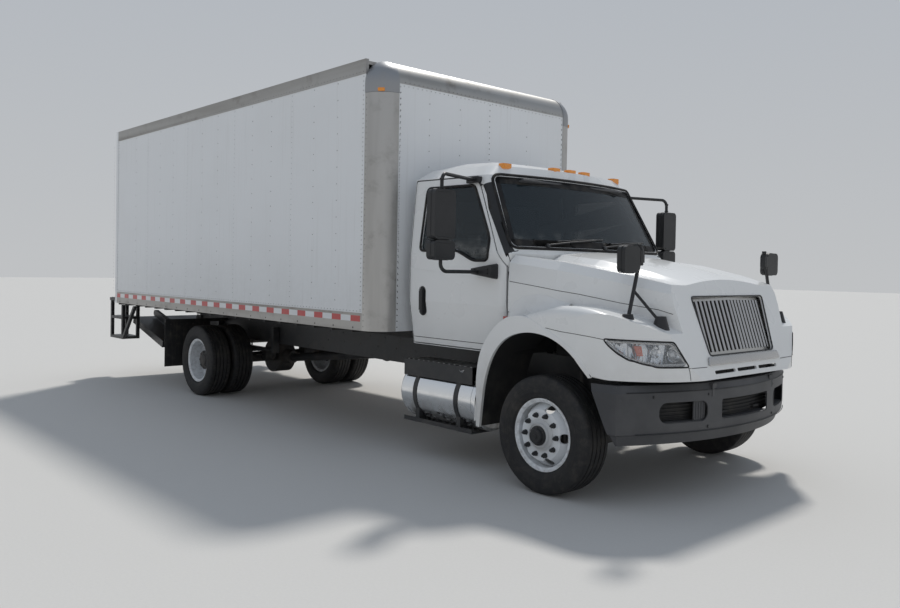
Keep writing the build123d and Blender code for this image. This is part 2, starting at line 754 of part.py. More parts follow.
# Hood mirrors: a head on an arm from the fender, steadied by a brace, each on a foot
hood_mirror_x = front_axle_x + 560.0
hood_mirror_y = 970.0
hood_mirror_depth = 65.0
hood_mirror_width = 172.0
hood_mirror_height = 180.0
hood_mirror_z = 1660.0
arm_top = (front_axle_x + 578, hood_mirror_y - 112, 1700.0)
arm_foot = (front_axle_x + 580, hood_mirror_y + 25, 1252.0)
brace_top = (front_axle_x + 575, hood_mirror_y - 45, 1450.0)
brace_foot = (front_axle_x + 720, hood_mirror_y - 150, 1240.0)
with BuildPart() as hood_mirrors:
    with BuildSketch(Plane.YZ.offset(hood_mirror_x - hood_mirror_depth / 2)):
        with Locations((hood_mirror_y, hood_mirror_z)):
            RectangleRounded(hood_mirror_width, hood_mirror_height, mirror_rounding)
    extrude(amount=hood_mirror_depth)
    with Locations((hood_mirror_x + 12, hood_mirror_y - 110, hood_mirror_z + 20)):
        Box(44, 44, 80)
    for start, end, radius in ((arm_foot, arm_top, 13.0), (brace_foot, brace_top, 10.0)):
        run = Vector(*end) - Vector(*start)
        with BuildSketch(Plane(origin=start, z_dir=run)):
            Circle(radius)
        extrude(amount=run.length)
        with Locations(start):
            Cone(60, 34, 90)
    mirror(about=Plane.XZ)
    add(hood_outer, mode=Mode.SUBTRACT)
pieces["hood_mirrors"] = hood_mirrors.part


def bumper_plan(z, inset):
    """Plan of the bumper: one long arc across the front with ends that turn back."""
    half = bumper_half_width - inset
    nose_x = front_axle_x + front_overhang - inset
    turn_x = behind_axle(-610) - inset / 2
    back_x = behind_axle(-300)
    with BuildSketch(Plane.XY.offset(z)) as plan:
        with BuildLine():
            Polyline((turn_x, half - 25), (back_x, half), (back_x, -half), (turn_x, 25 - half))
            ThreePointArc((turn_x, 25 - half), (nose_x, 0), (turn_x, half - 25))
        make_face()
    return plan.sketch


def bumper_body(inset):
    """The bumper as one solid: a recessed valance under a face with a rounded top and bottom."""
    with BuildPart() as body:
        for z, step in (
            (bumper_bottom_z + inset, valance_step + 25), (bumper_lower_z - 2, valance_step),
            (bumper_lower_z + 8, 6), (bumper_lower_z + 60, 0), (bumper_top_z - 50, 0), (bumper_top_z - inset, 22),
        ):
            add(bumper_plan(z, step + inset))
        loft(ruled=True)
    return body.part


# Front bumper: a moulded shell round the front, its ends cut along the tyres, with openings and brackets
bumper_end = [(-300, 380), (-590, 380), (-548, bumper_lower_z), (-400, bumper_top_z), (-380, 900), (-300, 900)]
opening_z = 645.0
opening_height = 140.0
centre_opening = 640.0
side_opening = 400.0
side_opening_y = 660.0
bracket_length = 224.0
bracket_width = 50.0
bracket_height = 90.0
bracket_z = 780.0
with BuildPart() as bumper_openings:
    with BuildSketch(Plane.YZ.offset(front_axle_x + 560)) as face:
        with Locations((0, opening_z)):
            RectangleRounded(centre_opening, opening_height, 20)
            with Locations((-side_opening_y, 0), (side_opening_y, 0)):
                RectangleRounded(side_opening, opening_height, 60)
    extrude(amount=440)
with BuildPart() as bumper_back:
    add(bumper_plan(bumper_bottom_z - 10, bumper_return))
    extrude(amount=bumper_top_z - bumper_bottom_z + 20)
with BuildPart() as front_bumper:
    add(bumper_body(0))
    add(bumper_body(bumper_wall), mode=Mode.SUBTRACT)
    add(bumper_back.part, mode=Mode.SUBTRACT)
    add(bumper_openings.part, mode=Mode.SUBTRACT)
    with BuildSketch(Plane.XZ.offset(-1300)):
        with BuildLine():
            Polyline(*[(behind_axle(back), z) for back, z in bumper_end], close=True)
        make_face()
    extrude(amount=2600, mode=Mode.SUBTRACT)
    with Locations((frame_front_x + bracket_length / 2, 0, bracket_z)):
        with GridLocations(0, 2 * frame_half_width - 60, 1, 2):
            Box(bracket_length, bracket_width, bracket_height)
pieces["front_bumper"] = front_bumper.part

# Fuel tank with its straps and steps
tank_x = behind_axle(tank_front) - tank_length / 2
with BuildPart() as fuel_tank:
    with BuildSketch(Plane.YZ.offset(tank_x - tank_length / 2)):
        with Locations((-tank_y, tank_z)):
            Circle(tank_radius)
    extrude(amount=tank_length)
    fillet(fuel_tank.edges().filter_by(GeomType.CIRCLE), radius=25)
pieces["fuel_tank"] = fuel_tank.part

# Steps: two straps carry the tank, an upper tread with a skirt over it and a lower tread under it
strap_spread = 504.0
strap_middle_x = tank_x - 12
strap_width = 46.0
strap_wall = 5.0
step_length = 840.0
tread_wall = 6.0
upper_step_z = 800.0
lower_step_z = 285.0
hanger_y = frame_half_width
with BuildPart() as cab_steps:
    with BuildSketch(Plane.YZ.offset(strap_middle_x - strap_spread / 2 - strap_width / 2)):
        with Locations((-tank_y, tank_z)):
            Circle(tank_radius + strap_wall)
        with Locations((-(hanger_y + tank_y) / 2, tank_z + 60)):
            Rectangle(tank_y - hanger_y, 300)
        with Locations((-tank_y - 110, (tank_z + upper_step_z) / 2)):
            Rectangle(200, upper_step_z - tank_z)
        with Locations((-tank_y - 90, (tank_z + lower_step_z) / 2)):
            Rectangle(230, tank_z - lower_step_z)
        with Locations((-tank_y, tank_z)):
            Circle(tank_radius, mode=Mode.SUBTRACT)
    extrude(amount=strap_width)
    mirror(about=Plane.YZ.offset(strap_middle_x))
    with BuildSketch(Plane.YZ.offset(strap_middle_x - step_length / 2)):
        with Locations((-tank_y - 90, upper_step_z)):
            Rectangle(260, tread_wall)
        with Locations((-tank_y - 217, upper_step_z - 66)):
            Rectangle(tread_wall, 132)
        with Locations((-tank_y - 90, lower_step_z)):
            Rectangle(250, tread_wall)
        with Locations((-tank_y - 212, lower_step_z + 15)):
            Rectangle(tread_wall, 36)
    extrude(amount=step_length)
    with BuildSketch(Plane.XY.offset(lower_step_z - 40)):
        with Locations((strap_middle_x, -tank_y - 90)):
            with GridLocations(84, 56, 9, 4):
                SlotOverall(56, 26)
    extrude(amount=80, mode=Mode.SUBTRACT)
    add(fuel_tank.part, mode=Mode.SUBTRACT)
pieces["cab_steps"] = cab_steps.part

# Battery box with steps, on the left
battery_gap = 80.0
battery_length = tank_length - 150
battery_width = 500.0
battery_height = 480.0
battery_z = 610.0
battery_step = (tank_length - 200, 140.0, 30.0)
battery_step_heights = (380.0, 790.0)
battery_arm = (tank_length - 300, battery_gap, 120.0)
battery_outer_y = frame_half_width + battery_gap + battery_width
with BuildPart() as battery_box:
    with Locations((tank_x, battery_outer_y - battery_width / 2, battery_z)):
        Box(battery_length, battery_width, battery_height)
    for step_z in battery_step_heights:
        with Locations((tank_x, battery_outer_y + 20, step_z)):
            Box(*battery_step)
    with Locations((tank_x, frame_half_width + battery_gap / 2, battery_z + 90)):
        Box(*battery_arm)
pieces["battery_box"] = battery_box.part

# Exhaust treatment can and tail pipe
can_rear = 2900.0
can_length = 900.0
can_radius = 170.0
can_y = frame_half_width + 260
can_z = 640.0
can_arm = (50.0, 100.0, 120.0)
can_arm_spread = 500.0
tail_radius = 50.0
tail_bend = 120.0
tail_start = (behind_axle(can_rear - 10), can_y, can_z)
tail_corner = (behind_axle(can_rear + 400), can_y, can_z)
tail_end = (behind_axle(can_rear + 600), can_y + 240, can_z - 80)
with BuildPart() as exhaust:
    with BuildSketch(Plane.YZ.offset(behind_axle(can_rear))):
        with Locations((can_y, can_z)):
            Circle(can_radius)
    extrude(amount=can_length)
    with BuildLine() as tail:
        FilletPolyline(tail_start, tail_corner, tail_end, radius=tail_bend)
    with BuildSketch(Plane(origin=tail.line @ 0, z_dir=tail.line % 0)):
        Circle(tail_radius)
    sweep(path=tail.line)
    with Locations((behind_axle(can_rear - can_length / 2), frame_half_width + can_arm[1] / 2, can_z + 60)):
        with GridLocations(can_arm_spread, 0, 2, 1):
            Box(*can_arm)
pieces["exhaust"] = exhaust.part

# Mud flaps behind the twin wheels, each on a bar
flap_gap = 200.0
flap_x = rear_axle_x - tyre_radius - flap_gap
flap_outer_y = 1270.0
flap_width = 600.0
flap_bottom = 290.0
flap_wall = 8.0
bar_height = 40.0
flap_top = frame_top - bar_height
with BuildPart() as mud_flaps:
    for side in (-1, 1):
        with Locations((flap_x, side * (flap_outer_y - flap_width / 2), (flap_bottom + flap_top) / 2)):
            Box(flap_wall, flap_width, flap_top - flap_bottom)
        with Locations((flap_x, side * (frame_half_width + flap_outer_y) / 2, flap_top)):
            Box(bar_height, flap_outer_y - frame_half_width, bar_height)
pieces["mud_flaps"] = mud_flaps.part

# Load box floor: sills on the frame, crossmembers, and the deck
sill_height = 100.0
deck_thickness = 30.0
crossmember_pitch = 305.0
crossmember_flange = 45.0
sill_width = 70.0
sill_setback = 100.0
rail_web = 12.0
inner_half = box_half - rail_web
deck_bottom = box_floor_z - deck_thickness
deck_front_x = box_front_x - box_wall - panel_step
deck_length = deck_front_x - (box_rear_x + rear_post_depth)
crossmember_count = int((deck_length - corner_radius) // crossmember_pitch) + 1
with BuildPart() as box_floor:
    with BuildSketch(Plane.XY.offset(deck_bottom)) as deck:
        with Locations((deck_front_x - deck_length / 2, 0)):
            Rectangle(deck_length, 2 * (box_half - box_wall - panel_step))
        fillet(deck.vertices().group_by(Axis.X)[-1], radius=corner_radius - box_wall - panel_step)
    extrude(amount=deck_thickness)
    with Locations((box_rear_x + rear_post_depth + 60 + crossmember_pitch * (crossmember_count - 1) / 2, 0,
                    (deck_bottom + frame_top + sill_height) / 2)):
        with GridLocations(crossmember_pitch, 0, crossmember_count, 1):
            Box(crossmember_flange, 2 * inner_half, deck_bottom - frame_top - sill_height)
    with Locations((deck_front_x - deck_length / 2, 0, frame_top + sill_height / 2)):
        with GridLocations(0, 2 * (frame_half_width - 40), 1, 2):
            Box(deck_length - 2 * sill_setback, sill_width, sill_height)
pieces["box_floor"] = box_floor.part

# Side rails, along the bottom and the top of each side
rail_front_x = box_front_x - corner_radius
rail_length = rail_front_x - box_rear_x - rear_post_depth
skirt_top = box_skirt_z + bottom_rail_height
top_rail_bottom = box_top - top_rail_height
with BuildPart() as side_rails:
    with BuildSketch(Plane.YZ.offset(box_rear_x + rear_post_depth)):
        for side in (-1, 1):
            with BuildLine():
                Polyline((side * box_half, box_skirt_z), (side * box_half, skirt_top),
                         (side * (box_half - box_wall - panel_step), skirt_top),
                         (side * (box_half - box_wall - panel_step), deck_bottom),
                         (side * inner_half, deck_bottom), (side * inner_half, box_skirt_z), close=True)
            make_face()
            with Locations((side * (box_half - (box_wall + panel_step) / 2), box_top - top_rail_height / 2)):
                Rectangle(box_wall + panel_step, top_rail_height)
    extrude(amount=rail_length)
pieces["side_rails"] = side_rails.part

panel_height = top_rail_bottom - skirt_top
with BuildPart() as box_sides:
    with Locations((rail_front_x - rail_length / 2, 0, skirt_top + panel_height / 2)):
        with GridLocations(0, 2 * (box_half - panel_step - box_wall / 2), 1, 2):
            Box(rail_length, box_wall, panel_height)
pieces["box_sides"] = box_sides.part

with BuildPart() as box_front_wall:
    wall_top = box_top - corner_radius
    with Locations((box_front_x - panel_step - box_wall / 2, 0, (box_skirt_z + wall_top) / 2)):
        Box(box_wall, 2 * (box_half - corner_radius), wall_top - box_skirt_z)
pieces["box_front_wall"] = box_front_wall.part

roof_wall = 30.0
roof_z = box_top - 30
roof_width = 2 * (box_half - box_wall - panel_step)
bow_width = 60.0
bow_height = 40.0
bow_pitch = 600.0
bow_count = int(rail_length // bow_pitch)
with BuildPart() as box_roof:
    with Locations((rail_front_x - rail_length / 2, 0, roof_z)):
        Box(rail_length, roof_width, roof_wall)
        with Locations((0, 0, -(roof_wall + bow_height) / 2)):
            with GridLocations(bow_pitch, 0, bow_count, 1):
                Box(bow_width, roof_width, bow_height)
pieces["box_roof"] = box_roof.part

# Rounded front corners: quarter-round posts, a quarter-round header and a cap where they meet
corner_wall = box_wall + panel_step
corner_z = box_top - corner_radius
corner_y = box_half - corner_radius
with BuildPart() as corner_posts:
    for side in (-1, 1):
        with BuildSketch(Plane.XY.offset(box_skirt_z)):
            with Locations((rail_front_x, side * corner_y)):
                Circle(corner_radius)
                Circle(corner_radius - corner_wall, mode=Mode.SUBTRACT)
                with Locations((corner_radius / 2, side * corner_radius / 2)):
                    Rectangle(corner_radius, corner_radius, mode=Mode.INTERSECT)
        extrude(amount=corner_z - box_skirt_z)
pieces["corner_posts"] = corner_posts.part

with BuildPart() as front_header:
    with BuildSketch(Plane.XZ.offset(-corner_y)):
        with Locations((rail_front_x, corner_z)):
            Circle(corner_radius)
            Circle(corner_radius - corner_wall, mode=Mode.SUBTRACT)
            with Locations((corner_radius / 2, corner_radius / 2)):
                Rectangle(corner_radius, corner_radius, mode=Mode.INTERSECT)
    extrude(amount=2 * corner_y)
    for side in (-1, 1):
        with Locations((rail_front_x, side * corner_y, corner_z)):
            Sphere(corner_radius)
            Sphere(corner_radius - corner_wall, mode=Mode.SUBTRACT)
    with Locations((rail_front_x + 500, 0, corner_z + 500)):
        Box(1000, 3000, 1000, mode=Mode.INTERSECT)
    with Locations((rail_front_x, 0, corner_z)):
        Box(2000, 2 * (corner_y) + 2 * corner_radius, 2000, mode=Mode.INTERSECT)
pieces["front_header"] = front_header.part

# Rear frame: posts, header and sill round the doorway
with BuildPart() as rear_frame:
    with BuildSketch(Plane.YZ.offset(box_rear_x)):
        with Locations((0, (box_top + box_skirt_z) / 2)):
            Rectangle(box_width, box_top - box_skirt_z)
        with Locations((0, (box_top - rear_header_height + box_floor_z) / 2)):
            Rectangle(box_width - 2 * rear_post_width, box_top - rear_header_height - box_floor_z,
                      mode=Mode.SUBTRACT)
    extrude(amount=rear_post_depth)
pieces["rear_frame"] = rear_frame.part

door_sections = 8
door_thickness = 25.0
door_setback = 24.5
groove_radius = 6.0
door_height = box_top - rear_header_height - box_floor_z
with BuildPart() as roll_up_door:
    with BuildSketch(Plane.XZ.offset(-(box_half - rear_post_width))):
        with Locations((box_rear_x + door_setback + door_thickness / 2, box_floor_z + door_height / 2)):
            Rectangle(door_thickness, door_height)
            with GridLocations(0, door_height / door_sections, 1, door_sections - 1):
                with Locations((-door_thickness / 2, 0)):
                    Circle(groove_radius, mode=Mode.SUBTRACT)
    extrude(amount=2 * (box_half - rear_post_width))
pieces["roll_up_door"] = roll_up_door.part

# Step bumper: on each side two posts, three rungs and a brace up to the box, under a plate behind the doorway
bumper_front_x = rear_end_x + 440
plate_thickness = 40.0
plate_bottom = step_top_z - plate_thickness
step_bottom = step_top_z - step_height
floor_bottom = frame_top + sill_height
side_frame_outer = box_half - 12
side_frame_inner = 1042.0
side_frame_y = (side_frame_outer + side_frame_inner) / 2
side_frame_width = side_frame_outer - side_frame_inner
rung_height = 35.0
rung_heights = (step_bottom + 18, step_bottom + 290)
brace_foot_x = bumper_front_x + 10
brace_run = 360.0
brace_width = 50.0
with BuildPart() as step_bumper:
    for post_x, post_top in (
        (rear_end_x + step_tube / 2, plate_bottom), (bumper_front_x - step_tube / 2, floor_bottom),
    ):
        with Locations((post_x, 0, (step_bottom + post_top) / 2)):
            for spread in (side_frame_outer - step_tube / 2, side_frame_inner + step_tube / 2):
                with GridLocations(0, 2 * spread, 1, 2):
                    Box(step_tube, step_tube, post_top - step_bottom)
    for rung_z in rung_heights:
        with Locations(((rear_end_x + bumper_front_x) / 2, 0, rung_z)):
            with GridLocations(0, 2 * side_frame_y, 1, 2):
                Box(bumper_front_x - rear_end_x, side_frame_width, rung_height)
    with BuildSketch(Plane.XZ.offset(-side_frame_outer)):
        with BuildLine():
            Polyline((brace_foot_x - brace_width, step_bottom), (brace_foot_x, step_bottom),
                     (brace_foot_x + brace_run + brace_width, floor_bottom), (brace_foot_x + brace_run, floor_bottom),
                     close=True)
        make_face()
    extrude(amount=step_tube)
    mirror(about=Plane.XZ)
    with Locations(((rear_end_x + box_rear_x) / 2, 0, step_top_z - plate_thickness / 2)):
        Box(box_rear_x - rear_end_x, box_width, plate_thickness)
pieces["step_bumper"] = step_bumper.part

# Lift gate folded and tucked under the box
gate_arm_y = 700.0
gate_arm_wall = 50.0
gate_arm_height = 90.0
gate_tube_radius = 45.0
gate_tube_reach = 760.0
gate_overlap = 60.0
gate_lift = 110.0
gate_end = Vector(gate_pivot_x - gate_arm_length * cos(radians(gate_slope)), 0,
                  gate_pivot_z + gate_arm_length * sin(radians(gate_slope)))
with BuildPart() as liftgate_arms:
    arm_plane = Plane(origin=(gate_pivot_x, 0, gate_pivot_z),
                      x_dir=(-cos(radians(gate_slope)), 0, sin(radians(gate_slope))), z_dir=(0, -1, 0))
    for side in (-1, 1):
        with BuildSketch(arm_plane.offset(-side * gate_arm_y - gate_arm_wall / 2)):
            with Locations((gate_arm_length / 2, 0)):
                SlotCenterToCenter(gate_arm_length, gate_arm_height)
        extrude(amount=gate_arm_wall)
    with BuildSketch(Plane.XZ):
        with Locations((gate_pivot_x, gate_pivot_z)):
            Circle(gate_tube_radius)
    extrude(amount=gate_tube_reach, both=True)
pieces["liftgate_arms"] = liftgate_arms.part

with BuildPart() as liftgate_platform:
    gate_plane = Plane(origin=gate_end, x_dir=(cos(radians(gate_slope)), 0, -sin(radians(gate_slope))),
                       z_dir=(0, 1, 0))
    with BuildSketch(gate_plane.offset(-gate_half_width)):
        with Locations((gate_length / 2 - gate_overlap, gate_lift)):
            Rectangle(gate_length, gate_thickness)
    extrude(amount=2 * gate_half_width)
pieces["liftgate_platform"] = liftgate_platform.part

# Marker lamps: five along the front edge of the cab roof, and one at each front corner of the box
roof_lamp_x = behind_axle(cab_front + 360 - cab_bow - 20 + 36)
roof_lamp_z = roof_top_z - 68.0
roof_lamp_size = (70.0, 110.0, 46.0)
roof_lamp_corner = 26.0
corner_lamp_drop = 70.0
corner_lamp_depth = 14.0
roof_lamps = [
    # place across the truck, set back from the middle lamp, drop below it
    (0.0, 0.0, 0.0),
    (200.0, 6.0, 0.0),
    (-200.0, 6.0, 0.0),
    (720.0, 78.0, 6.0),
    (-720.0, 78.0, 6.0),
]
with BuildPart() as marker_lamps:
    for lamp_y, set_back, drop in roof_lamps:
        with Locations((roof_lamp_x - set_back, lamp_y, roof_lamp_z - drop)):
            lamp = Box(*roof_lamp_size)
            fillet(lamp.edges().filter_by(Axis.Z), radius=roof_lamp_corner)
    add(cab_outer, mode=Mode.SUBTRACT)
    for side in (-1, 1):
        lamp_turn = Plane(origin=(rail_front_x, side * corner_y, corner_z - corner_lamp_drop), x_dir=(1, -side, 0),
                          z_dir=(1, side, 0))
        with BuildSketch(lamp_turn.offset(corner_radius)):
            RectangleRounded(60, 30, 8)
        extrude(amount=corner_lamp_depth)
pieces["marker_lamps"] = marker_lamps.part


# Steering knuckles: a fork round the axle boss, a kingpin and a spindle
fork_reach = boss_height / 2 + move_gap
fork_radius = 50.0
fork_height = 40.0
fork_length = 90.0
web_thickness = 30.0
web_y = kingpin_y + 75
with BuildPart() as knuckle_right:
    with Locations((front_axle_x, -kingpin_y, axle_z)):
        Cylinder(kingpin_radius, boss_height + 2 * move_gap)
        with Locations((0, 0, fork_reach + fork_height / 2), (0, 0, -fork_reach - fork_height / 2)):
            Cylinder(fork_radius, fork_height)
            with Locations((0, -fork_length / 2, 0)):
                Box(2 * fork_radius, fork_length, fork_height)
        with Locations((0, kingpin_y - web_y, 0)):
            Box(2 * fork_radius, web_thickness, 2 * (fork_reach + fork_height))
    with BuildSketch(Plane.XZ.offset(web_y - web_thickness / 2)):
        with Locations((front_axle_x, axle_z)):
            Circle(spindle_radius)
    extrude(amount=front_tyre_y + front_offset + 20 - (web_y - web_thickness / 2))


# Wheels and tyres, turned about the axle line and then moved to their places
def tyre_ring(middle_y):
    """A tyre: bead, bulging sidewall, square shoulder and flat tread."""
    half = tyre_width / 2
    with BuildPart() as ring:
        with BuildSketch(Plane.XY) as section:
            with BuildLine():
                Polyline((rim_radius - 21.5, -93), (rim_radius - 1, -105.5), (rim_radius + 1, -104))
                ThreePointArc((rim_radius + 1, -104), (rim_radius + 70, -half), (tyre_radius - 30, -half + 12))
                Polyline((tyre_radius - 30, -half + 12), (tyre_radius, -half + 36), (tyre_radius, half - 36),
                         (tyre_radius - 30, half - 12))
                ThreePointArc((tyre_radius - 30, half - 12), (rim_radius + 70, half), (rim_radius + 1, 104))
                Polyline((rim_radius + 1, 104), (rim_radius - 1, 105.5), (rim_radius - 21.5, 93),
                         (rim_radius - 21.5, -93))
            make_face()
        revolve(axis=Axis.Y)
    return ring.part.moved(Location((0, middle_y, 0)))


def rim(middle_y, disc_y):
    """A steel rim whose disc stands at disc_y, on the side that it is dished towards."""
    side = 1 if disc_y > middle_y else -1
    with BuildPart() as wheel:
        with BuildSketch(Plane.XY):
            with BuildLine():
                Polyline((rim_radius - 2, -rim_width / 2), (rim_radius - 22, -rim_width / 2 + 12),
                         (rim_radius - 22, rim_width / 2 - 12), (rim_radius - 2, rim_width / 2),
                         (rim_radius - 12, rim_width / 2), (rim_radius - 22 - rim_wall, rim_width / 2 - 12),
                         (rim_radius - 22 - rim_wall, -rim_width / 2 + 12), (rim_radius - 12, -rim_width / 2),
                         close=True)
            make_face()
        revolve(axis=Axis.Y)
        reach = side * (disc_y - middle_y)
        with BuildSketch(Plane.XY):
            with BuildLine():
                Polyline((hub_bore, side * (reach - disc_wall)), (hub_bore, side * reach),
                         (disc_flat, side * reach), (rim_radius - 22 - rim_wall / 2, side * (reach - 90)),
                         (rim_radius - 22 - rim_wall / 2, side * (reach - 90 - disc_wall * 1.6)),
                         (disc_flat - 8, side * (reach - disc_wall)), close=True)
            make_face()
        revolve(axis=Axis.Y)
        with BuildSketch(Plane.XZ):
            with PolarLocations(hand_hole_circle, hand_holes):
                Ellipse(26, 34)
        extrude(amount=400, both=True, mode=Mode.SUBTRACT)
    return wheel.part.moved(Location((0, middle_y, 0)))


def hub(start_y, end_y, radius):
    """A hub barrel round the spindle."""
    with BuildPart() as barrel:
        with BuildSketch(Plane.XZ.offset(-start_y)):
            Circle(radius)
            Circle(hub_bore, mode=Mode.SUBTRACT)
        extrude(amount=start_y - end_y)
    return barrel.part


front_disc_y = front_tyre_y + front_offset
front_wheel_place = Location((front_axle_x, 0, axle_z))
rear_wheel_place = Location((rear_axle_x, 0, axle_z))
for side, name in ((-1, "right"), (1, "left")):
    with BuildPart() as front_wheel:
        add(rim(side * front_tyre_y, side * front_disc_y))
        add(hub(side * (front_disc_y - 90), side * (front_disc_y + 30), hub_radius - 28))
    pieces[f"front_wheel_{name}"] = front_wheel.part.moved(front_wheel_place)
    pieces[f"front_tyre_{name}"] = tyre_ring(side * front_tyre_y).moved(front_wheel_place)

    outer_y = dual_plane_y + dual_offset
    inner_y = dual_plane_y - dual_offset
    with BuildPart() as rear_wheels:
        add(rim(side * outer_y, side * dual_plane_y))
        add(rim(side * inner_y, side * dual_plane_y))
        add(hub(side * (dual_plane_y - 120), side * (dual_plane_y + 160), hub_radius))
    with BuildPart() as rear_tyres:
        add(tyre_ring(side * outer_y))
        add(tyre_ring(side * inner_y))
    pieces[f"rear_wheels_{name}"] = rear_wheels.part.moved(rear_wheel_place)
    pieces[f"rear_tyres_{name}"] = rear_tyres.part.moved(rear_wheel_place)

with BuildPart() as knuckle_left:
    mirror(knuckle_right.part, about=Plane.XZ)
pieces["knuckle_right"] = knuckle_right.part
pieces["knuckle_left"] = knuckle_left.part

os.makedirs("parts", exist_ok=True)
for name, piece in pieces.items():
    piece.label = name
    export_step(piece, f"parts/{name}.step")
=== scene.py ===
"""Looks of the box truck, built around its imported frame. Metres: +X forward, +Y to the driver's left, +Z up."""
import json
import math

import bpy
from mathutils import Matrix, Vector

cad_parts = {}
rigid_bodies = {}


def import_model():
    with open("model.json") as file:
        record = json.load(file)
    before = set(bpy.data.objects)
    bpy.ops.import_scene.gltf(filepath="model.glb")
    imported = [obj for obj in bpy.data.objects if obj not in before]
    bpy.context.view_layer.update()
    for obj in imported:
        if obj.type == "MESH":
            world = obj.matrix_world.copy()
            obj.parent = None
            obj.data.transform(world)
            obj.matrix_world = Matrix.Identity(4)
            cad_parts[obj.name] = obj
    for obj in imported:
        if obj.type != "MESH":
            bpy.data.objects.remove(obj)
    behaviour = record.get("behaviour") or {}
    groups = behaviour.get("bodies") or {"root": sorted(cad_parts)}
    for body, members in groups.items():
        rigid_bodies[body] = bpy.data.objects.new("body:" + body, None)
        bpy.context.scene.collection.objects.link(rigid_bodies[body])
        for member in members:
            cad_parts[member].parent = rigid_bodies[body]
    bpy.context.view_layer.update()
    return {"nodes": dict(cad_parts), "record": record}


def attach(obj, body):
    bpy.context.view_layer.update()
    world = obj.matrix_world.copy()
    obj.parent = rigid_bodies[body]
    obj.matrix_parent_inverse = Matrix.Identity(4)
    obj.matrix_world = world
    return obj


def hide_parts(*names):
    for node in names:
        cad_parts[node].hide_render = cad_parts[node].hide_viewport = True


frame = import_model()

RIGHT, LEFT = -1, 1
SIDES = (RIGHT, LEFT)
NAMED_SIDES = ((RIGHT, "right"), (LEFT, "left"))
ACROSS = (0, 1, 0)
SQUARE = ((-1, -1), (1, -1), (1, 1), (-1, 1))
AXLE_X = 3.530
REAR_AXLE_X = -2.010
AXLE_Z = 0.420
FRONT_TYRE_Y = 1.062
DUAL_Y = 0.872
DUAL_OFFSET = 0.148
DISC_Y = 1.174
STUD_CIRCLE = 0.1429
BOX_SIDE_Y = 1.295
PANEL_Y = 1.291
BOX_FRONT_X = 1.757
BOX_REAR_X = -4.253
PANEL_FRONT_X = 1.547
PANEL_REAR_X = -4.188
PANEL_LOW_Z = 1.175
PANEL_HIGH_Z = 3.250
TOP_Z = 3.380
POST_PITCH = 0.390
EDGE_LINE = 0.031
RIVET_PITCH = 0.0508
DOOR_PANEL_LOW_Z = 1.115
DOOR_PANEL_HEIGHT = 0.252
RAIL_BOLT_Y = -0.4325


def doing(operation):
    """A method that does one step of maths on a level."""
    return lambda self, *others: self.maths(operation, *others)


class Level:
    """A value that varies over a surface, with the maths that is done on it."""

    def __init__(self, finish, socket):
        self.finish = finish
        self.socket = socket

    def maths(self, operation, *others, clamp=False):
        sockets = dict(enumerate([self, *others]))
        settings = {"operation": operation, "use_clamp": clamp}
        return Level(self.finish, self.finish.node("ShaderNodeMath", settings, sockets).outputs[0])

    __add__ = __radd__ = doing("ADD")
    __sub__ = doing("SUBTRACT")
    __mul__ = __rmul__ = doing("MULTIPLY")
    __truediv__ = doing("DIVIDE")
    __mod__ = doing("FLOORED_MODULO")
    __abs__ = doing("ABSOLUTE")
    __gt__ = doing("GREATER_THAN")
    __lt__ = doing("LESS_THAN")
    sine = doing("SINE")
    root = doing("SQRT")

    def __rsub__(self, other):
        return (self * -1) + other

    def held(self):
        """The same value, kept from 0 to 1."""
        return self.maths("ADD", 0, clamp=True)

    def over(self, low, high):
        """0 below low, 1 above high, and smooth between them."""
        sockets = {"Value": self, "From Min": low, "From Max": high}
        made = self.finish.node("ShaderNodeMapRange", {"interpolation_type": "SMOOTHSTEP"}, sockets)
        return Level(self.finish, made.outputs[0])


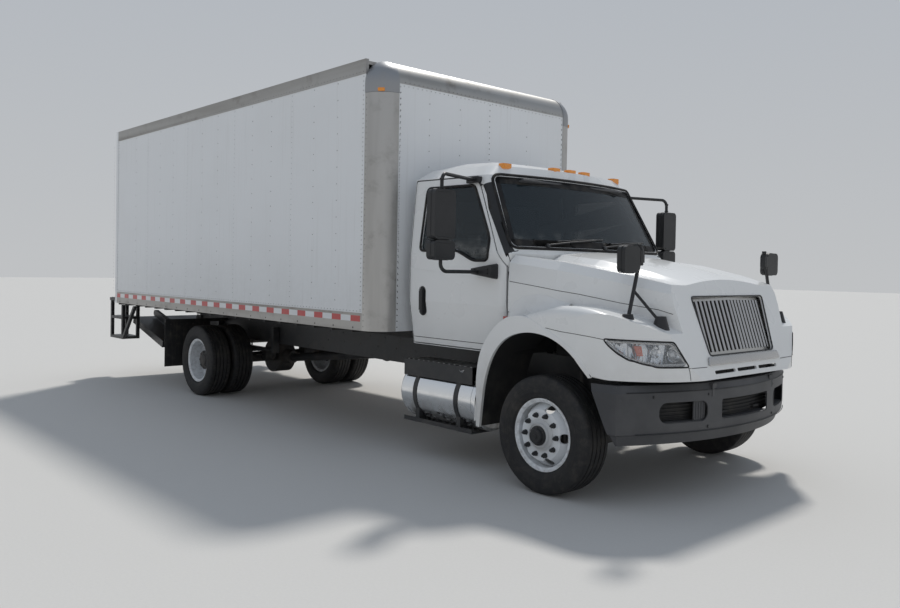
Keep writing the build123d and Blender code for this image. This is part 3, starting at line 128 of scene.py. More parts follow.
class Finish:
    """A material under construction, with the nodes that this truck's finishes are made from."""

    def __init__(self, name, **uniform):
        self.material = bpy.data.materials.new(name)
        self.material.use_nodes = True
        self.tree = self.material.node_tree
        self.tree.nodes.clear()
        output = self.node("ShaderNodeOutputMaterial")
        self.shader = self.node("ShaderNodeBsdfPrincipled", sockets=uniform)
        self.put(output, 0, self.shader.outputs[0])
        self.place = self.node("ShaderNodeTexCoord").outputs["Object"]

    def put(self, node, name, value):
        """Sets a node's socket to a number or a colour, or links a Level or a socket to it."""
        if isinstance(value, Level):
            value = value.socket
        if isinstance(value, bpy.types.NodeSocket):
            self.tree.links.new(value, node.inputs[name])
        else:
            node.inputs[name].default_value = value

    def node(self, kind, settings=None, sockets=None):
        """Adds a node. Its settings come before its sockets, since they can change which sockets it has."""
        made = self.tree.nodes.new(kind)
        for name, value in (settings or {}).items():
            setattr(made, name, value)
        for name, value in (sockets or {}).items():
            self.put(made, name, value)
        return made

    def stretched(self, scale):
        """Object coordinates, stretched for a pattern that runs one way."""
        return self.node("ShaderNodeMapping", sockets={"Vector": self.place, "Scale": scale}).outputs[0]

    def along(self):
        """The three object coordinates as levels."""
        made = self.node("ShaderNodeSeparateXYZ", sockets={0: self.place})
        return [Level(self, made.outputs[i]) for i in range(3)]

    def wheel_radius(self, centre_x):
        """The distance from the middle of a wheel, seen from the side."""
        x, y, z = self.along()
        return ((x - centre_x) * (x - centre_x) + (z - AXLE_Z) * (z - AXLE_Z)).root()

    def noise(self, scale, detail=3.0, rough=0.5, vector=None, distort=0.0):
        sockets = {"Vector": vector or self.place, "Scale": scale, "Detail": detail, "Roughness": rough,
                   "Distortion": distort}
        return Level(self, self.node("ShaderNodeTexNoise", sockets=sockets).outputs[0])

    def cells(self, scale):
        sockets = {"Vector": self.place, "Scale": scale}
        return Level(self, self.node("ShaderNodeTexVoronoi", sockets=sockets).outputs["Distance"])

    def mixed(self, factor, first, second):
        """A colour that goes from the first to the second as the factor rises."""
        sockets = {0: factor, 6: opaque(first), 7: opaque(second)}
        return self.node("ShaderNodeMix", {"data_type": "RGBA"}, sockets).outputs[2]

    def ready(self, inputs, height, strength, distance):
        """Feeds the shader's inputs and its bump, and gives the material."""
        made = self.node("ShaderNodeBump", sockets={"Strength": strength, "Distance": distance,
                                                    "Height": height})
        for name, value in {**inputs, "Normal": made.outputs[0]}.items():
            self.put(self.shader, name, value)
        return self.material


def opaque(colour):
    """A colour as a node takes it, or a link left as it is."""
    return (*colour, 1.0) if isinstance(colour, tuple) else colour


def tinted(colour, share, more=0.0):
    """A colour made lighter or darker, kept within what a surface can reflect."""
    return tuple(min(1.0, c * share + more) for c in colour)


def painted(name, colour, roughness=0.25, grime=0.5):
    """Gloss paint: slight colour drift, road dirt that thins out with height, and orange peel."""
    made = Finish(name, **{"Coat Roughness": 0.08, "Specular IOR Level": 0.5})
    x, y, z = made.along()
    drift = made.noise(0.9, 4)
    splash = made.noise(7.0, 8, 0.62) * made.noise(1.3, 3)
    dusty = ((1 - z.over(0.45, 1.25)) * (splash * 3.2 - 0.25).held() * grime).held()
    base = made.mixed(drift.over(0.3, 0.75) * 0.5, colour, tinted(colour, 0.94))
    return made.ready({"Base Color": made.mixed(dusty, base, (0.30, 0.26, 0.20)),
                       "Roughness": (dusty * 0.5 + roughness + made.noise(3.0, 4) * 0.06).held(),
                       "Coat Weight": (1 - dusty) * 0.5},
                      made.noise(260.0, 2) * 0.6 + splash * 0.4, 0.05, 0.001)


def shell_paint(name):
    """The cab's paint, with the firewall behind the hood and the underside in dull black."""
    made = Finish(name, **{"Coat Roughness": 0.08, "Specular IOR Level": 0.5})
    x, y, z = made.along()
    cloud = made.noise(3.0, 5)
    hidden = (x.over(2.985, 2.990) * (1 - z.over(1.560, 1.565)) + (1 - z.over(0.915, 0.920))).held()
    base = made.mixed(made.noise(0.9, 4).over(0.3, 0.75) * 0.5, (0.80, 0.805, 0.80), (0.75, 0.757, 0.75))
    return made.ready({"Base Color": made.mixed(hidden, base, (0.014, 0.014, 0.015)),
                       "Roughness": (hidden * 0.4 + 0.25 + cloud * 0.06).held(),
                       "Coat Weight": (1 - hidden) * 0.5},
                      made.noise(260.0, 2) * 0.6 + cloud * 0.2, 0.05, 0.001)


def sheet_white(name):
    """Pre-painted white sheet: oil-canned between its posts, with faint run-down streaks and dust low down."""
    made = Finish(name, **{"Specular IOR Level": 0.45})
    x, y, z = made.along()
    streak = made.noise(9.0, 5, 0.6, made.stretched((4.0, 4.0, 0.12)))
    cloud = made.noise(1.1, 4)
    low = (1 - z.over(1.15, 2.0)) * made.noise(14.0, 6, 0.65)
    soil = ((streak.over(0.52, 0.80) * 0.16) + (cloud.over(0.4, 0.8) * 0.08) + (low * 0.28)).held()
    return made.ready({"Base Color": made.mixed(soil, (0.80, 0.815, 0.83), (0.46, 0.45, 0.42)),
                       "Roughness": (soil * 0.5 + 0.33 + cloud * 0.08).held()},
                      made.noise(2.3, 2, 0.4) + made.noise(180.0, 2) * 0.004, 0.22, 0.012)


def brushed(name, direction, colour, rough, stain, dull=(0.42, 0.41, 0.39)):
    """Mill-finish aluminium: fine draw lines along one direction, with water stains and dull patches."""
    made = Finish(name, **{"Metallic": 1.0})
    lines = made.noise(7.0, 6, 0.7, made.stretched(direction))
    bands = made.noise(1.2, 3, 0.5, made.stretched(tuple(min(6.0, max(0.35, d / 9)) for d in direction)))
    blot = made.noise(5.0, 6, 0.65)
    worn = (blot.over(0.5, 0.8) * stain + bands.over(0.35, 0.75) * stain * 0.8).held()
    return made.ready({"Base Color": made.mixed(worn, colour, dull),
                       "Roughness": (lines * 0.16 + rough - 0.06 + worn * 0.22).held()}, lines, 0.12, 0.0006)


def polished(name):
    """Polished tank aluminium with fine swirls, dulled by road film under its belly."""
    made = Finish(name, **{"Metallic": 1.0})
    x, y, z = made.along()
    swirl = made.noise(14.0, 5, 0.6, made.stretched((0.6, 22.0, 22.0)))
    film = ((1 - z.over(0.30, 0.62)) * made.noise(9.0, 6, 0.6).over(0.3, 0.7)).held()
    return made.ready({"Base Color": made.mixed(film * 0.75, (0.86, 0.87, 0.88), (0.34, 0.32, 0.29)),
                       "Roughness": (swirl * 0.12 + 0.10 + film * 0.40).held()},
                      swirl + made.noise(3.0, 2) * 0.6, 0.08, 0.001)


def chrome(name, colour=(0.80, 0.81, 0.82), roughness=0.05):
    made = Finish(name, **{"Metallic": 1.0})
    spots = made.noise(120.0, 4)
    return made.ready({"Base Color": made.mixed(spots.over(0.62, 0.8) * 0.4, colour, tinted(colour, 0.6)),
                       "Roughness": (spots * 0.08 + roughness).held()}, made.noise(6.0, 2), 0.02, 0.001)


def frame_black(name, colour=(0.022, 0.023, 0.025), gloss=0.42):
    """Satin chassis paint under a veil of road dust, with rust in its pits."""
    made = Finish(name)
    dust = made.noise(5.0, 8, 0.65)
    rust = made.noise(38.0, 6, 0.6).over(0.66, 0.80)
    x, y, z = made.along()
    veil = (dust.over(0.40, 0.80) * (1.25 - z) * 0.5).held()
    base = made.mixed(veil, colour, (0.16, 0.145, 0.125))
    return made.ready({"Base Color": made.mixed(rust * 0.35, base, (0.14, 0.06, 0.03)),
                       "Roughness": (gloss + veil * 0.5 + rust * 0.3).held()}, dust * 0.5 + rust, 0.18, 0.0012)


def casting(name):
    made = Finish(name)
    grain = made.noise(90.0, 5, 0.6)
    oil = made.noise(6.0, 5)
    return made.ready({"Base Color": made.mixed(oil.over(0.35, 0.75),
                                                (0.030, 0.030, 0.032), (0.105, 0.095, 0.085)),
                       "Metallic": oil * 0.25, "Roughness": (grain * 0.25 + 0.45 + oil * 0.15).held()},
                      grain, 0.4, 0.0015)


def grained(name, colour, fade, grain=900.0, rough=0.55):
    """Moulded plastic: leather-like grain, sun-bleached in clouds and scuffed."""
    made = Finish(name, **{"Specular IOR Level": 0.4})
    cloud = made.noise(2.2, 5, 0.55)
    scuff = made.noise(22.0, 7, 0.7).over(0.58, 0.78)
    base = made.mixed(cloud.over(0.30, 0.72), colour, fade)
    return made.ready({"Base Color": made.mixed(scuff * 0.22, base, tinted(fade, 2.2)),
                       "Roughness": (rough + scuff * 0.12 - cloud * 0.06).held()},
                      made.cells(grain) + made.noise(grain * 0.4, 3) * 0.5, 0.25, 0.0005)


def tyre_rubber(name, centre_x):
    """Tread rubber: concentric moulding lines on the walls, dust in the grooves, a browned sidewall."""
    made = Finish(name, **{"Specular IOR Level": 0.35})
    radius = made.wheel_radius(centre_x)
    ridges = (radius * 2600.0).sine()
    wall = 1 - radius.over(0.385, 0.400)
    dust = made.noise(16.0, 7, 0.65)
    bloom = made.noise(3.0, 4)
    veil = (dust.over(0.42, 0.80) * 0.55 + bloom.over(0.45, 0.8) * 0.25).held()
    return made.ready({"Base Color": made.mixed(veil, (0.018, 0.018, 0.019), (0.085, 0.076, 0.066)),
                       "Roughness": (0.62 + veil * 0.28).held()},
                      ridges * wall * 0.3 + made.noise(420.0, 3) * 0.8 + dust * 0.6, 0.22, 0.0008)


def wheel_white(name, centre_x):
    """White painted steel wheel, with brake dust that runs out from the hub."""
    made = Finish(name, **{"Coat Roughness": 0.15})
    radius = made.wheel_radius(centre_x)
    grit = made.noise(26.0, 7, 0.65)
    ring = (radius.over(0.19, 0.245) * grit.over(0.38, 0.66)).held()
    spot = grit.over(0.60, 0.78)
    soil = (ring * 0.40 + spot * 0.30 + (1 - radius.over(0.09, 0.14)) * 0.35).held()
    return made.ready({"Base Color": made.mixed(soil, (0.74, 0.76, 0.78), (0.21, 0.185, 0.16)),
                       "Roughness": (0.30 + soil * 0.45).held(), "Coat Weight": (1 - soil) * 0.3},
                      made.noise(150.0, 3) + spot * 0.5, 0.08, 0.0008)


def rubber(name, colour=(0.020, 0.020, 0.021), streaks=0.35):
    """Plain rubber, dusty, with pale streaks that run down it."""
    made = Finish(name, **{"Specular IOR Level": 0.3})
    dust = made.noise(11.0, 7, 0.65)
    runs = made.noise(8.0, 4, 0.5, made.stretched((6.0, 6.0, 0.5)))
    veil = (dust.over(0.42, 0.8) * 0.5 + (runs.over(0.5, 0.8) * streaks if streaks else 0.0)).held()
    return made.ready({"Base Color": made.mixed(veil, colour, (0.10, 0.088, 0.074)),
                       "Roughness": (0.66 + veil * 0.2).held()},
                      made.noise(300.0, 3) + dust * 0.5, 0.15, 0.0008)


def tinted_glass(name):
    """Window glass: a dark see-through tint with dust along its lower edge."""
    made = Finish(name, **{"IOR": 1.5, "Specular IOR Level": 0.6})
    haze = made.noise(9.0, 5)
    x, y, z = made.along()
    film = (haze.over(0.45, 0.8) * (1 - z.over(1.70, 1.95))).held()
    return made.ready({"Base Color": made.mixed(film, (0.010, 0.020, 0.026), (0.20, 0.20, 0.19)),
                       "Alpha": (film * 0.25 + 0.66).held(), "Roughness": (film * 0.15 + 0.02).held()},
                      made.noise(1.2, 2), 0.02, 0.002)


def lens(name, colour, clear, ribs=0.0):
    """A moulded lamp lens with a little haze, and ribs inside where a count is given."""
    made = Finish(name, **{"IOR": 1.46, "Specular IOR Level": 0.7, "Coat Weight": 0.5})
    haze = made.noise(60.0, 4)
    inputs = {"Base Color": made.mixed(haze.over(0.4, 0.8) * 0.15, colour, tinted(colour, 1.25, 0.03)),
              "Roughness": (haze * 0.08 + 0.04).held(), "Alpha": (haze * 0.06 + clear).held()}
    if not ribs:
        return made.ready(inputs, haze, 0.03, 0.0005)
    x, y, z = made.along()
    return made.ready(inputs, ((x + y) * ribs).sine() + (z * ribs).sine(), 0.35, 0.0006)


def warning_tape(name):
    """Reflective tape in red and white lengths, with a fine prism pattern and scratches."""
    made = Finish(name, **{"Coat Weight": 0.4})
    x, y, z = made.along()
    red = ((x + abs(y) - 2.3835) % 0.2935) < 0.142
    scratch = made.noise(40.0, 6, 0.7, made.stretched((1.0, 1.0, 0.35))).over(0.60, 0.75)
    prisms = made.cells(330.0)
    base = made.mixed(red, (0.70, 0.71, 0.72), (0.50, 0.045, 0.045))
    return made.ready({"Base Color": made.mixed(scratch * 0.35, base, (0.36, 0.31, 0.28)),
                       "Roughness": (0.26 + prisms * 0.2 + scratch * 0.3).held()}, prisms, 0.25, 0.0004)


def deck_boards(name):
    """Oak deck boards along the box, worn and oiled, over black steel crossmembers."""
    made = Finish(name)
    x, y, z = made.along()
    gap = abs((y / 0.145) % 1.0 - 0.5) > 0.485
    tone = made.noise(1.0, 0, 0.0, made.stretched((0.02, 6.9, 0.02)))
    grain = made.noise(7.0, 7, 0.6, made.stretched((1.2, 18.0, 18.0)), 1.5)
    base = made.mixed(grain.over(0.3, 0.75), (0.42, 0.27, 0.14), (0.22, 0.125, 0.06))
    base = made.mixed(tone.over(0.3, 0.7) * 0.45, base, (0.50, 0.36, 0.21))
    base = made.mixed(gap, base, (0.03, 0.022, 0.016))
    under = z < 1.0845
    steel = made.mixed(grain.over(0.4, 0.8), (0.022, 0.022, 0.024), (0.075, 0.066, 0.056))
    return made.ready({"Base Color": made.mixed(under, base, steel), "Roughness": (0.55 + grain * 0.2).held()},
                      grain * 0.4 - gap, 0.35, 0.0015)


def seat_cloth(name):
    """Woven seat cloth in a fine basket weave, with a soft nap."""
    made = Finish(name, **{"Sheen Weight": 0.3, "Sheen Roughness": 0.5})
    x, y, z = made.along()
    across = (y * 2600.0).sine() * 0.5 + 0.5
    up = ((x + z) * 2600.0).sine() * 0.5 + 0.5
    weave = across * up + (1 - across) * (1 - up)
    worn = made.noise(6.0, 4)
    base = made.mixed(weave * 0.6, (0.045, 0.047, 0.052), (0.12, 0.125, 0.135))
    return made.ready({"Base Color": made.mixed(worn.over(0.45, 0.8) * 0.35, base, (0.17, 0.165, 0.16)),
                       "Roughness": (0.85 + weave * 0.1).held()},
                      weave + made.noise(600.0, 3) * 0.4, 0.5, 0.0008)


def exhaust_steel(name):
    made = Finish(name, **{"Metallic": 0.85})
    heat = made.noise(3.0, 4)
    rust = made.noise(24.0, 7, 0.65).over(0.5, 0.75)
    base = made.mixed(heat.over(0.35, 0.7), (0.34, 0.33, 0.32), (0.24, 0.20, 0.17))
    return made.ready({"Base Color": made.mixed(rust * 0.6, base, (0.16, 0.075, 0.04)),
                       "Roughness": (0.38 + rust * 0.35).held()}, rust + heat * 0.5, 0.2, 0.001)


def mirror_face(name):
    made = Finish(name, **{"Metallic": 1.0})
    film = made.noise(14.0, 5)
    return made.ready({"Base Color": made.mixed(film.over(0.5, 0.8) * 0.25,
                                                (0.80, 0.83, 0.85), (0.55, 0.56, 0.56)),
                       "Roughness": (film * 0.05 + 0.015).held()}, film, 0.01, 0.0005)


LENGTHWISE, UPRIGHT, CROSSWISE = (0.7, 60.0, 60.0), (60.0, 60.0, 0.7), (40.0, 0.8, 40.0)
finishes = {
    "frame_paint": frame_black("satin_black"),
    "cab_paint": painted("cab_white", (0.80, 0.805, 0.80)),
    "shell_paint": shell_paint("shell_white"),
    "box_paint": sheet_white("sheet_white"),
    "box_aluminium": brushed("rail_aluminium", LENGTHWISE, (0.44, 0.43, 0.415), 0.42, 0.6, (0.27, 0.25, 0.225)),
    "post_aluminium": brushed("post_aluminium", (46.0, 46.0, 0.45), (0.50, 0.49, 0.475), 0.34, 0.55,
                              (0.27, 0.255, 0.235)),
    "header_aluminium": brushed("header_aluminium", (46.0, 0.8, 46.0), (0.46, 0.455, 0.445), 0.40, 0.75,
                                (0.30, 0.29, 0.27)),
    # The cap's metal colour, darker and bluer than the other aluminium, is a painted reflection of a dark sky.
    "cap_casting_painted_reflection": brushed("cap_casting_painted_reflection", (3.0, 3.0, 3.0), (0.36, 0.365, 0.375), 0.42, 0.5),
    "strip_polished": brushed("strip_polished", CROSSWISE, (0.50, 0.495, 0.49), 0.14, 0.4),
    "grille_plastic": brushed("grille_grey", UPRIGHT, (0.50, 0.49, 0.47), 0.28, 0.25),
    "lamp_bowl": chrome("lamp_bowl", (0.62, 0.65, 0.69), 0.09),
    "chrome": chrome("bright_chrome"),
    "side_reflector": lens("side_reflector", (0.52, 0.085, 0.030), 0.94, 220.0),
    "clear_projector": lens("clear_projector", (0.78, 0.80, 0.83), 0.55),
    "marker_red": lens("marker_red", (0.42, 0.05, 0.035), 0.96, 500.0),
    "lamp_lens": lens("clear_lens", (0.70, 0.72, 0.74), 0.20),
    "amber_lens": lens("amber_lens", (0.95, 0.33, 0.03), 0.92, 900.0),
    "red_lens": lens("red_lens", (0.55, 0.015, 0.02), 0.94, 900.0),
    "lining": grained("cab_lining", (0.050, 0.051, 0.055), (0.075, 0.075, 0.080), 500.0, 0.85),
    "bumper_plastic": grained("bumper_plastic", (0.052, 0.053, 0.057), (0.085, 0.085, 0.088)),
    "trim_black": grained("trim_black", (0.016, 0.017, 0.018), (0.030, 0.030, 0.032), 1200.0, 0.42),
    "cabin_plastic": grained("cabin_plastic", (0.075, 0.076, 0.080), (0.10, 0.10, 0.105), 1100.0, 0.6),
    "underside": frame_black("underside_black", (0.012, 0.012, 0.013), 0.7),
    "gate_metal": frame_black("gate_black", (0.026, 0.026, 0.028), 0.38),
    "plate_blank": painted("plate_blank", (0.66, 0.67, 0.66), roughness=0.35, grime=0.2),
    "tank_aluminium": polished("tank_aluminium"),
    "clear_glass": tinted_glass("tinted_glass"),
    "seat_fabric": seat_cloth("seat_cloth"),
    "wheel_front": wheel_white("wheel_white_front", AXLE_X),
    "wheel_rear": wheel_white("wheel_white_rear", REAR_AXLE_X),
    "tyre_front": tyre_rubber("tyre_rubber_front", AXLE_X),
    "tyre_rear": tyre_rubber("tyre_rubber_rear", REAR_AXLE_X),
    "flap_rubber": rubber("flap_rubber"),
    "seal_rubber": rubber("seal_rubber", (0.012, 0.012, 0.013), 0.0),
    "cast_metal": casting("cast_metal"),
    "deck_wood": deck_boards("deck_boards"),
    "exhaust_steel": exhaust_steel("exhaust_steel"),
    "tape": warning_tape("warning_tape"),
    "mirror": mirror_face("mirror_face"),
}

NODE_FINISH = {"cab_shell": "shell_paint", "corner_posts": "post_aluminium", "front_header": "header_aluminium",
               "hood_mirrors": "trim_black"}
for side, name in NAMED_SIDES:
    NODE_FINISH |= {f"front_wheel_{name}": "wheel_front", f"rear_wheels_{name}": "wheel_rear",
                    f"door_mirror_{name}": "trim_black", f"door_handle_{name}": "trim_black",
                    f"front_tyre_{name}": "tyre_front", f"rear_tyres_{name}": "tyre_rear"}


def surface_point(node, start, direction):
    """Where a line from start meets a node's surface, in the frame's own metres."""
    mesh = frame["nodes"][node]
    away = mesh.matrix_world.inverted()
    heading = (away.to_3x3() @ Vector(direction)).normalized()
    hit, place, normal, face = mesh.ray_cast(away @ Vector(start), heading)
    return (mesh.matrix_world @ place) if hit else None


def on_surface(node, points, direction, step=0.03, lift=0.0):
    """Points along a route, close together and laid on a node's surface."""
    direction = Vector(direction).normalized()
    laid = []
    for here, there in zip(points, points[1:]):
        here, there = Vector(here), Vector(there)
        count = max(1, round((there - here).length / step))
        laid += [here.lerp(there, i / count) for i in range(count)]
    laid.append(Vector(points[-1]))
    found = [surface_point(node, p - direction * 0.6, direction) for p in laid]
    return [p - direction * lift for p in found if p is not None]


def closed(points):
    return points + [points[0]]


def dress_nodes():
    """Gives every CAD node the finish of its slot, or its own where it differs."""
    slots = {row["node"]: row["material_slot"] for row in frame["record"]["subparts"]}
    for name, node in frame["nodes"].items():
        node.data.materials.clear()
        node.data.materials.append(finishes[NODE_FINISH.get(name, slots[name])])
        smooth(node, 32)


def let_go():
    """Leaves edit mode, with nothing selected."""
    if bpy.context.object and bpy.context.object.mode != "OBJECT":
        bpy.ops.object.mode_set(mode="OBJECT")
    bpy.ops.object.select_all(action="DESELECT")


def take(piece):
    let_go()
    piece.select_set(True)
    bpy.context.view_layer.objects.active = piece
    return piece


def edit_all(piece):
    """Goes into edit mode with the whole of a piece selected."""
    take(piece)
    bpy.ops.object.mode_set(mode="EDIT")
    bpy.ops.mesh.select_all(action="SELECT")


def settle(piece):
    """Puts a piece's place, turn and size into its mesh."""
    take(piece)
    bpy.ops.object.transform_apply(location=True, rotation=True, scale=True)
    return piece


def modify(piece, kind, **settings):
    """Adds a modifier and applies it."""
    take(piece)
    made = piece.modifiers.new(kind.lower(), kind)
    for name, value in settings.items():
        setattr(made, name, value)
    bpy.ops.object.modifier_apply(modifier=made.name)
    return piece


def rounded(piece, width, segments=2, angle=35):
    return modify(piece, "BEVEL", width=width, segments=segments, limit_method="ANGLE",
                  angle_limit=math.radians(angle))


def row(piece, count, step):
    """Repeats a piece along a step."""
    return modify(piece, "ARRAY", count=count, use_relative_offset=False, use_constant_offset=True,
                  constant_offset_displace=step)


def both_sides(piece):
    return modify(piece, "MIRROR", use_axis=(False, True, False))


def thickened(piece, wall, offset=1.0):
    return modify(piece, "SOLIDIFY", thickness=wall, offset=offset)


def tilted(piece, degrees, centre):
    """Turns a piece about a line across the truck."""
    take(piece)
    bpy.ops.transform.rotate(value=math.radians(degrees), orient_axis="Y", center_override=centre)
    return settle(piece)


def block(a, b, edge=0.0, segments=2):
    """A box between two opposite corners, with rounded edges where a width is given."""
    let_go()
    bpy.ops.mesh.primitive_cube_add(size=1, location=[(p + q) / 2 for p, q in zip(a, b)])
    piece = bpy.context.object
    piece.scale = [abs(q - p) for p, q in zip(a, b)]
    settle(piece)
    return rounded(piece, edge, segments) if edge else piece


def barrel(start, end, radius, sides=24, end_radius=None, edge=0.0, segments=2):
    """A cylinder or cone from one point to another, with rounded edges where a width is given."""
    let_go()
    start, end = Vector(start), Vector(end)
    run = end - start
    bpy.ops.mesh.primitive_cone_add(vertices=sides, radius1=radius, radius2=end_radius or radius,
                                    depth=run.length, location=(start + end) / 2,
                                    rotation=run.to_track_quat("Z", "Y").to_euler())
    piece = settle(bpy.context.object)
    return rounded(piece, edge, segments) if edge else piece


def thread(points):
    """A row of edges drawn through points. Ends in edit mode with its last vertex selected."""
    let_go()
    bpy.ops.mesh.primitive_plane_add(size=0.01, location=(0, 0, 0))
    piece = bpy.context.object
    bpy.context.tool_settings.mesh_select_mode = (True, False, False)
    bpy.ops.object.mode_set(mode="EDIT")
    bpy.ops.mesh.select_all(action="SELECT")
    bpy.ops.mesh.merge(type="CENTER")
    points = [Vector(p) for p in points]
    bpy.ops.transform.translate(value=points[0])
    for here, there in zip(points, points[1:]):
        bpy.ops.mesh.extrude_region_move(TRANSFORM_OT_translate={"value": there - here})
    return piece


def tidy_mesh(piece, distance=0.00005):
    """Merges doubles and turns every face outwards."""
    edit_all(piece)
    bpy.ops.mesh.remove_doubles(threshold=distance)
    bpy.ops.mesh.normals_make_consistent(inside=False)
    bpy.ops.object.mode_set(mode="OBJECT")
    return piece


def turned(outline, centre, steps=48, axis=ACROSS, size=1.0):
    """Turns an outline of (place along the axis, radius) about a line through centre."""
    centre, axis = Vector(centre), Vector(axis)
    out = Vector((0, 0, 1)) if abs(axis.z) < 0.9 else Vector((1, 0, 0))
    piece = thread([centre + axis * (a * size) + out * (r * size) for a, r in outline])
    bpy.ops.mesh.select_all(action="SELECT")
    bpy.ops.mesh.spin(steps=steps, angle=math.tau, center=centre, axis=axis)
    return tidy_mesh(piece)


def outward(outline, side):
    """An outline for the y axis, made to point out from the truck."""
    return [(a * side, r) for a, r in outline]


def plate(corners, thickness):
    """A flat plate with those corners, given its thickness by a vector."""
    piece = thread(corners)
    bpy.ops.mesh.select_all(action="SELECT")
    bpy.ops.mesh.edge_face_add()
    bpy.ops.mesh.extrude_region_move(TRANSFORM_OT_translate={"value": Vector(thickness)})
    return tidy_mesh(piece)


def pipe(points, radius, sides=2):
    """A round bar along points."""
    take(thread(points))
    bpy.ops.object.convert(target="CURVE")
    curve = bpy.context.object.data
    curve.bevel_depth = radius
    curve.bevel_resolution = sides
    curve.use_fill_caps = True
    bpy.ops.object.convert(target="MESH")
    return tidy_mesh(settle(bpy.context.object))


def pick(piece, kind, test):
    """Goes into edit mode with the faces or edges whose place and direction pass the test."""
    take(piece)
    mesh = piece.data
    for group in (mesh.vertices, mesh.edges, mesh.polygons):
        group.foreach_set("select", [False] * len(group))
    if kind == "FACE":
        for face in mesh.polygons:
            face.select = bool(test(face.center, face.normal))
    else:
        for edge in mesh.edges:
            a, b = (mesh.vertices[i].co for i in edge.vertices)
            edge.select = bool(test((a + b) / 2, (b - a).normalized()))
    bpy.context.tool_settings.mesh_select_mode = [kind == k for k in ("VERT", "EDGE", "FACE")]
    bpy.ops.object.mode_set(mode="EDIT")


def joined(parts):
    let_go()
    for part in parts:
        part.select_set(True)
    bpy.context.view_layer.objects.active = parts[0]
    bpy.ops.object.join()
    return parts[0]


def duplicate(piece):
    take(piece)
    bpy.ops.object.duplicate()
    return settle(bpy.context.object)


def around(piece, count, centre):
    """Copies a piece round a centre on a line across the truck, into one piece."""
    parts = [piece]
    for i in range(1, count):
        take(piece)
        bpy.ops.object.duplicate()
        parts.append(bpy.context.object)
        bpy.ops.transform.rotate(value=math.tau * i / count, orient_axis="Y", center_override=centre)
        bpy.ops.object.transform_apply(location=True, rotation=True, scale=True)
    return joined(parts)


def copied(node):
    """A copy of a CAD node with its own mesh, merged."""
    take(frame["nodes"][node])
    bpy.ops.object.duplicate()
    piece = take(bpy.context.object)
    bpy.ops.object.parent_clear(type="CLEAR_KEEP_TRANSFORM")
    return tidy_mesh(settle(piece), 0.0002)


def keep_faces(piece, test):
    """Deletes the faces that fail the test."""
    pick(piece, "FACE", lambda place, normal: not test(place, normal))
    bpy.ops.mesh.delete(type="FACE")
    let_go()
    return piece


def cut_off(piece, place, direction):
    """Cuts a piece along a plane and drops what lies on the side that direction points to."""
    edit_all(piece)
    bpy.ops.mesh.bisect(plane_co=place, plane_no=direction, clear_outer=True)
    let_go()
    return piece


def smooth(piece, angle):
    take(piece)
    bpy.ops.object.shade_smooth_by_angle(angle=math.radians(angle))


def seated(name, parts, finish, body="chassis", angle=35):
    """Makes one named piece of parts, smooths it, gives it a finish and seats it on its body."""
    piece = joined(parts) if isinstance(parts, list) else parts
    piece.name = name
    piece.data.name = name
    smooth(piece, angle)
    piece.data.materials.clear()
    piece.data.materials.append(finishes[finish])
    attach(piece, body)
    return piece


TYRE_WALL = [(-0.105, 0.2595), (-0.110, 0.266), (-0.118, 0.272), (-0.1235, 0.284), (-0.1275, 0.300),
             (-0.1285, 0.303), (-0.1297, 0.3045), (-0.1304, 0.318), (-0.131, 0.333), (-0.1296, 0.335),
             (-0.1296, 0.338), (-0.1308, 0.340), (-0.1293, 0.360), (-0.1262, 0.378), (-0.1252, 0.379),
             (-0.1240, 0.385), (-0.1205, 0.397), (-0.1130, 0.409), (-0.1030, 0.4165), (-0.0920, 0.4185),
             (-0.0720, 0.4195), (-0.0705, 0.4080), (-0.0620, 0.4080), (-0.0605, 0.4198), (-0.0270, 0.4200),
             (-0.0255, 0.4080), (-0.0175, 0.4080), (-0.0160, 0.4200), (0.0, 0.4200)]
TREAD_PITCHES = 64


def tyre(name, wheel_x, middle_y, finish, body, lugs):
    """A tyre: a wall with a bead, a rim rib and moulded rings, and a tread of ribs cut by sipes or lugs."""
    centre = Vector((wheel_x, middle_y, AXLE_Z))
    sector = math.tau / TREAD_PITCHES
    shoulder, sunk = (0.070, 0.982) if lugs else (0.100, 0.992)
    outline = TYRE_WALL + [(-y, r) for y, r in reversed(TYRE_WALL[:-1])]
    piece = thread([centre + Vector((0, y, r)) for y, r in outline])
    bpy.ops.mesh.select_all(action="SELECT")
    bpy.ops.mesh.spin(steps=3, angle=sector, center=centre, axis=ACROSS)
    tidy_mesh(piece)

    def in_sipe(place, normal):
        out = place - centre
        step = int(abs(math.atan2(out.x, out.z)) / sector * 3 + 0.001)
        return step == 1 and math.hypot(out.x, out.z) > 0.4085 and abs(out.y) > shoulder

    pick(piece, "FACE", in_sipe)
    bpy.ops.mesh.inset(thickness=0.0030, depth=0.0)
    bpy.ops.mesh.extrude_region_move()
    bpy.ops.transform.resize(value=(sunk, 1.0, sunk), center_override=centre)
    bpy.ops.mesh.select_all(action="SELECT")
    bpy.ops.mesh.spin(steps=TREAD_PITCHES - 1, angle=sector * (TREAD_PITCHES - 1), center=centre, axis=ACROSS,
                      dupli=True)
    tidy_mesh(piece, 0.0002)
    return seated(name, piece, finish, body, 28)


def wheel_nuts(centre, side):
    """Ten flanged wheel nuts with their stud ends, pointing out from the truck."""
    tall = 0.030
    top = centre + Vector((0, 0, STUD_CIRCLE))
    nut = turned(outward([(0.0, 0.0), (0.0, 0.0205), (0.004, 0.0205), (0.006, 0.0178), (tall - 0.006, 0.0165),
                          (tall - 0.002, 0.0140), (tall, 0.0100), (tall, 0.0)], side), top, 6)
    stud = turned(outward([(tall - 0.002, 0.0), (tall - 0.002, 0.0085), (tall + 0.008, 0.0085),
                           (tall + 0.010, 0.0070), (tall + 0.010, 0.0)], side), top, 10)
    return around(joined([nut, stud]), 10, centre)


